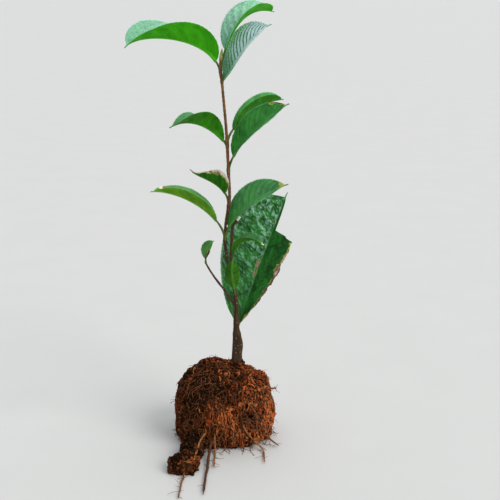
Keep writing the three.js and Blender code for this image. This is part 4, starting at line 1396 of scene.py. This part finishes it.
# Chances that a rootlet is gold, brown or dark.
ROOTLET_TINTS = (0.12, 0.53, 0.35)
random = np.random.default_rng(300)
parts, tints = [], []
for path, out in zip(*walkers(ROOTLETS, ROOTLET_STEPS, ROOTLET_STRIDE, random)):
    last = min(on_the_ball(path), random.integers(10, ROOTLET_STEPS + 1))
    turned = random.uniform(0, math.tau) + np.arange(last) * WEAVE_TURN
    rise = WEAVE * np.sin(turned) - WEAVE_SINK + humps(path[:last])
    if last >= 5:
        wide = random.uniform(*ROOTLET_RADII)
        path = path[:last] + out[:last] * rise[:, None]
        parts.append(thin_tube(path, wide, wide * ROOTLET_TAPER, 4))
        tints.append(random.choice(3, p=ROOTLET_TINTS))
print(len(parts), "rootlets on the ball")
points, faces, owner = joined(parts)
shades = list(root_finishes.values())
piece = plant_piece("camellia_rootlets", points, faces, shades, np.array(tints)[owner])

# %% rootlets that stand off the ball or lie at its foot
STANDING, STANDING_LENGTHS, STANDING_RADII = 150, (4, 8), (0.14, 0.26)
LYING, LYING_SHARES, LYING_RADII = 16, (0.4, 1), (0.18, 0.34)
STANDING_TINTS, LYING_TINTS = (0.15, 0.55, 0.3), (0.3, 0.5, 0.2)
# Half the breadth and depth of the ball's foot, and the heights at which rootlets leave it.
BALL_FOOT, FOOT_HEIGHTS = (30, 25.5, 0), (0.8, 6)
# On each side, how far those at the foot reach and their compass direction, then how far they
# scatter round it and slope down, in degrees.
FOOT_REACH = {"front": (30, -90), "right": (8, 0), "left": (14, 180)}
FOOT_SCATTER, FOOT_SLOPE = 32, -8
random = np.random.default_rng(301)
parts, tints = [], []
spots, out = over_ball(LUMPS["root_ball"], STANDING, random, 3)
for spot, away in zip(spots, out):
    start = spot - away * 0.8
    heading = away + random.normal(0, 0.6, 3)
    path = wander(start, heading, random.uniform(*STANDING_LENGTHS), random, 0.1)
    parts.append(thin_tube(path, random.uniform(*STANDING_RADII), 0.07, 4))
    tints.append(random.choice(3, p=STANDING_TINTS))
for reach, compass in FOOT_REACH.values():
    for _ in range(LYING):
        heading = direction(compass + random.normal(0, FOOT_SCATTER), FOOT_SLOPE)
        start = heading * BALL_FOOT + (0, 0, random.uniform(*FOOT_HEIGHTS))
        length = random.uniform(*LYING_SHARES) * reach + 3
        path = wander(start, heading, length, random, 0.12, 0.35)
        parts.append(thin_tube(path, random.uniform(*LYING_RADII), 0.1, 5))
        tints.append(random.choice(3, p=LYING_TINTS))
points, faces, owner = joined(parts)
piece = plant_piece("camellia_loose_rootlets", points, faces, shades, np.array(tints)[owner])

# %% [markdown]
# ## Floor, light and camera
# The plant was photographed under an overcast sky, from a little above and from in front.
# Two very wide suns stand for it: one from above and behind gives the sheen and the leaves'
# glow, and one from the right and in front fills the shadows.

# %% pale floor, which reaches to the horizon
FAR = 400.0
floor_mesh = bpy.data.meshes.new("floor")
corners = [(-FAR, -FAR, 0), (FAR, -FAR, 0), (FAR, FAR, 0), (-FAR, FAR, 0)]
floor_mesh.from_pydata(corners, [], [(0, 1, 2, 3)])
floor = bpy.data.objects.new("floor", floor_mesh)
bpy.context.scene.collection.objects.link(floor)
floor_finish, tree, shader = new_finish("pale_floor", Roughness=0.7)
cloud = pattern(tree, "Noise", 60, detail=3).outputs[0]
dress(tree, shader, Base_Color=mixed(tree, cloud, (0.63, 0.63, 0.62), (0.67, 0.67, 0.66)))
floor_mesh.materials.append(floor_finish)

# %% soft studio light
LIGHTS = {
    "sky_behind": ((0.15, 0.45, 0.88), 90, 1.2, (1.0, 1.0, 1.0)),
    "sky_in_front": ((0.85, -0.60, 0.75), 40, 2.0, (1.0, 0.99, 0.97)),
}
for name, (toward, angle, strength, colour) in LIGHTS.items():
    lamp = bpy.data.lights.new(name, "SUN")
    lamp.angle, lamp.energy, lamp.color = math.radians(angle), strength, colour
    sun = bpy.data.objects.new(name, lamp)
    sun.rotation_euler = Vector(toward).to_track_quat("Z", "Y").to_euler()
    bpy.context.scene.collection.objects.link(sun)
world = bpy.data.worlds.new("studio")
bpy.context.scene.world = world
world.use_nodes = True
nodes = world.node_tree.nodes
sky = nodes["Background"]
sky.inputs["Color"].default_value = (0.93, 0.97, 1.0, 1)
sky.inputs["Strength"].default_value = 0.42
# Where a view goes past the horizon, the studio's wall is as pale as the floor there.
wall = add(world.node_tree, "Background", {"Color": (0.80, 0.81, 0.80, 1)})
in_view = add(world.node_tree, "LightPath").outputs["Is Camera Ray"]
shown = add(world.node_tree, "MixShader", {0: in_view, 1: sky.outputs[0], 2: wall.outputs[0]})
world.node_tree.links.new(shown.outputs[0], nodes["World Output"].inputs["Surface"])

# %% camera at the photograph's angle
EYE = (16.7, -630, 294.75)
LOOK_DOWN = 14.47
camera_data = bpy.data.cameras.new("camera")
camera_data.lens, camera_data.sensor_width = 70, 36
camera = bpy.data.objects.new("camera", camera_data)
camera.location = [value * MM for value in EYE]
camera.rotation_euler = (math.radians(90 - LOOK_DOWN), 0, 0)
bpy.context.scene.collection.objects.link(camera)
bpy.context.scene.camera = camera
bpy.context.scene.view_settings.view_transform = "Standard"
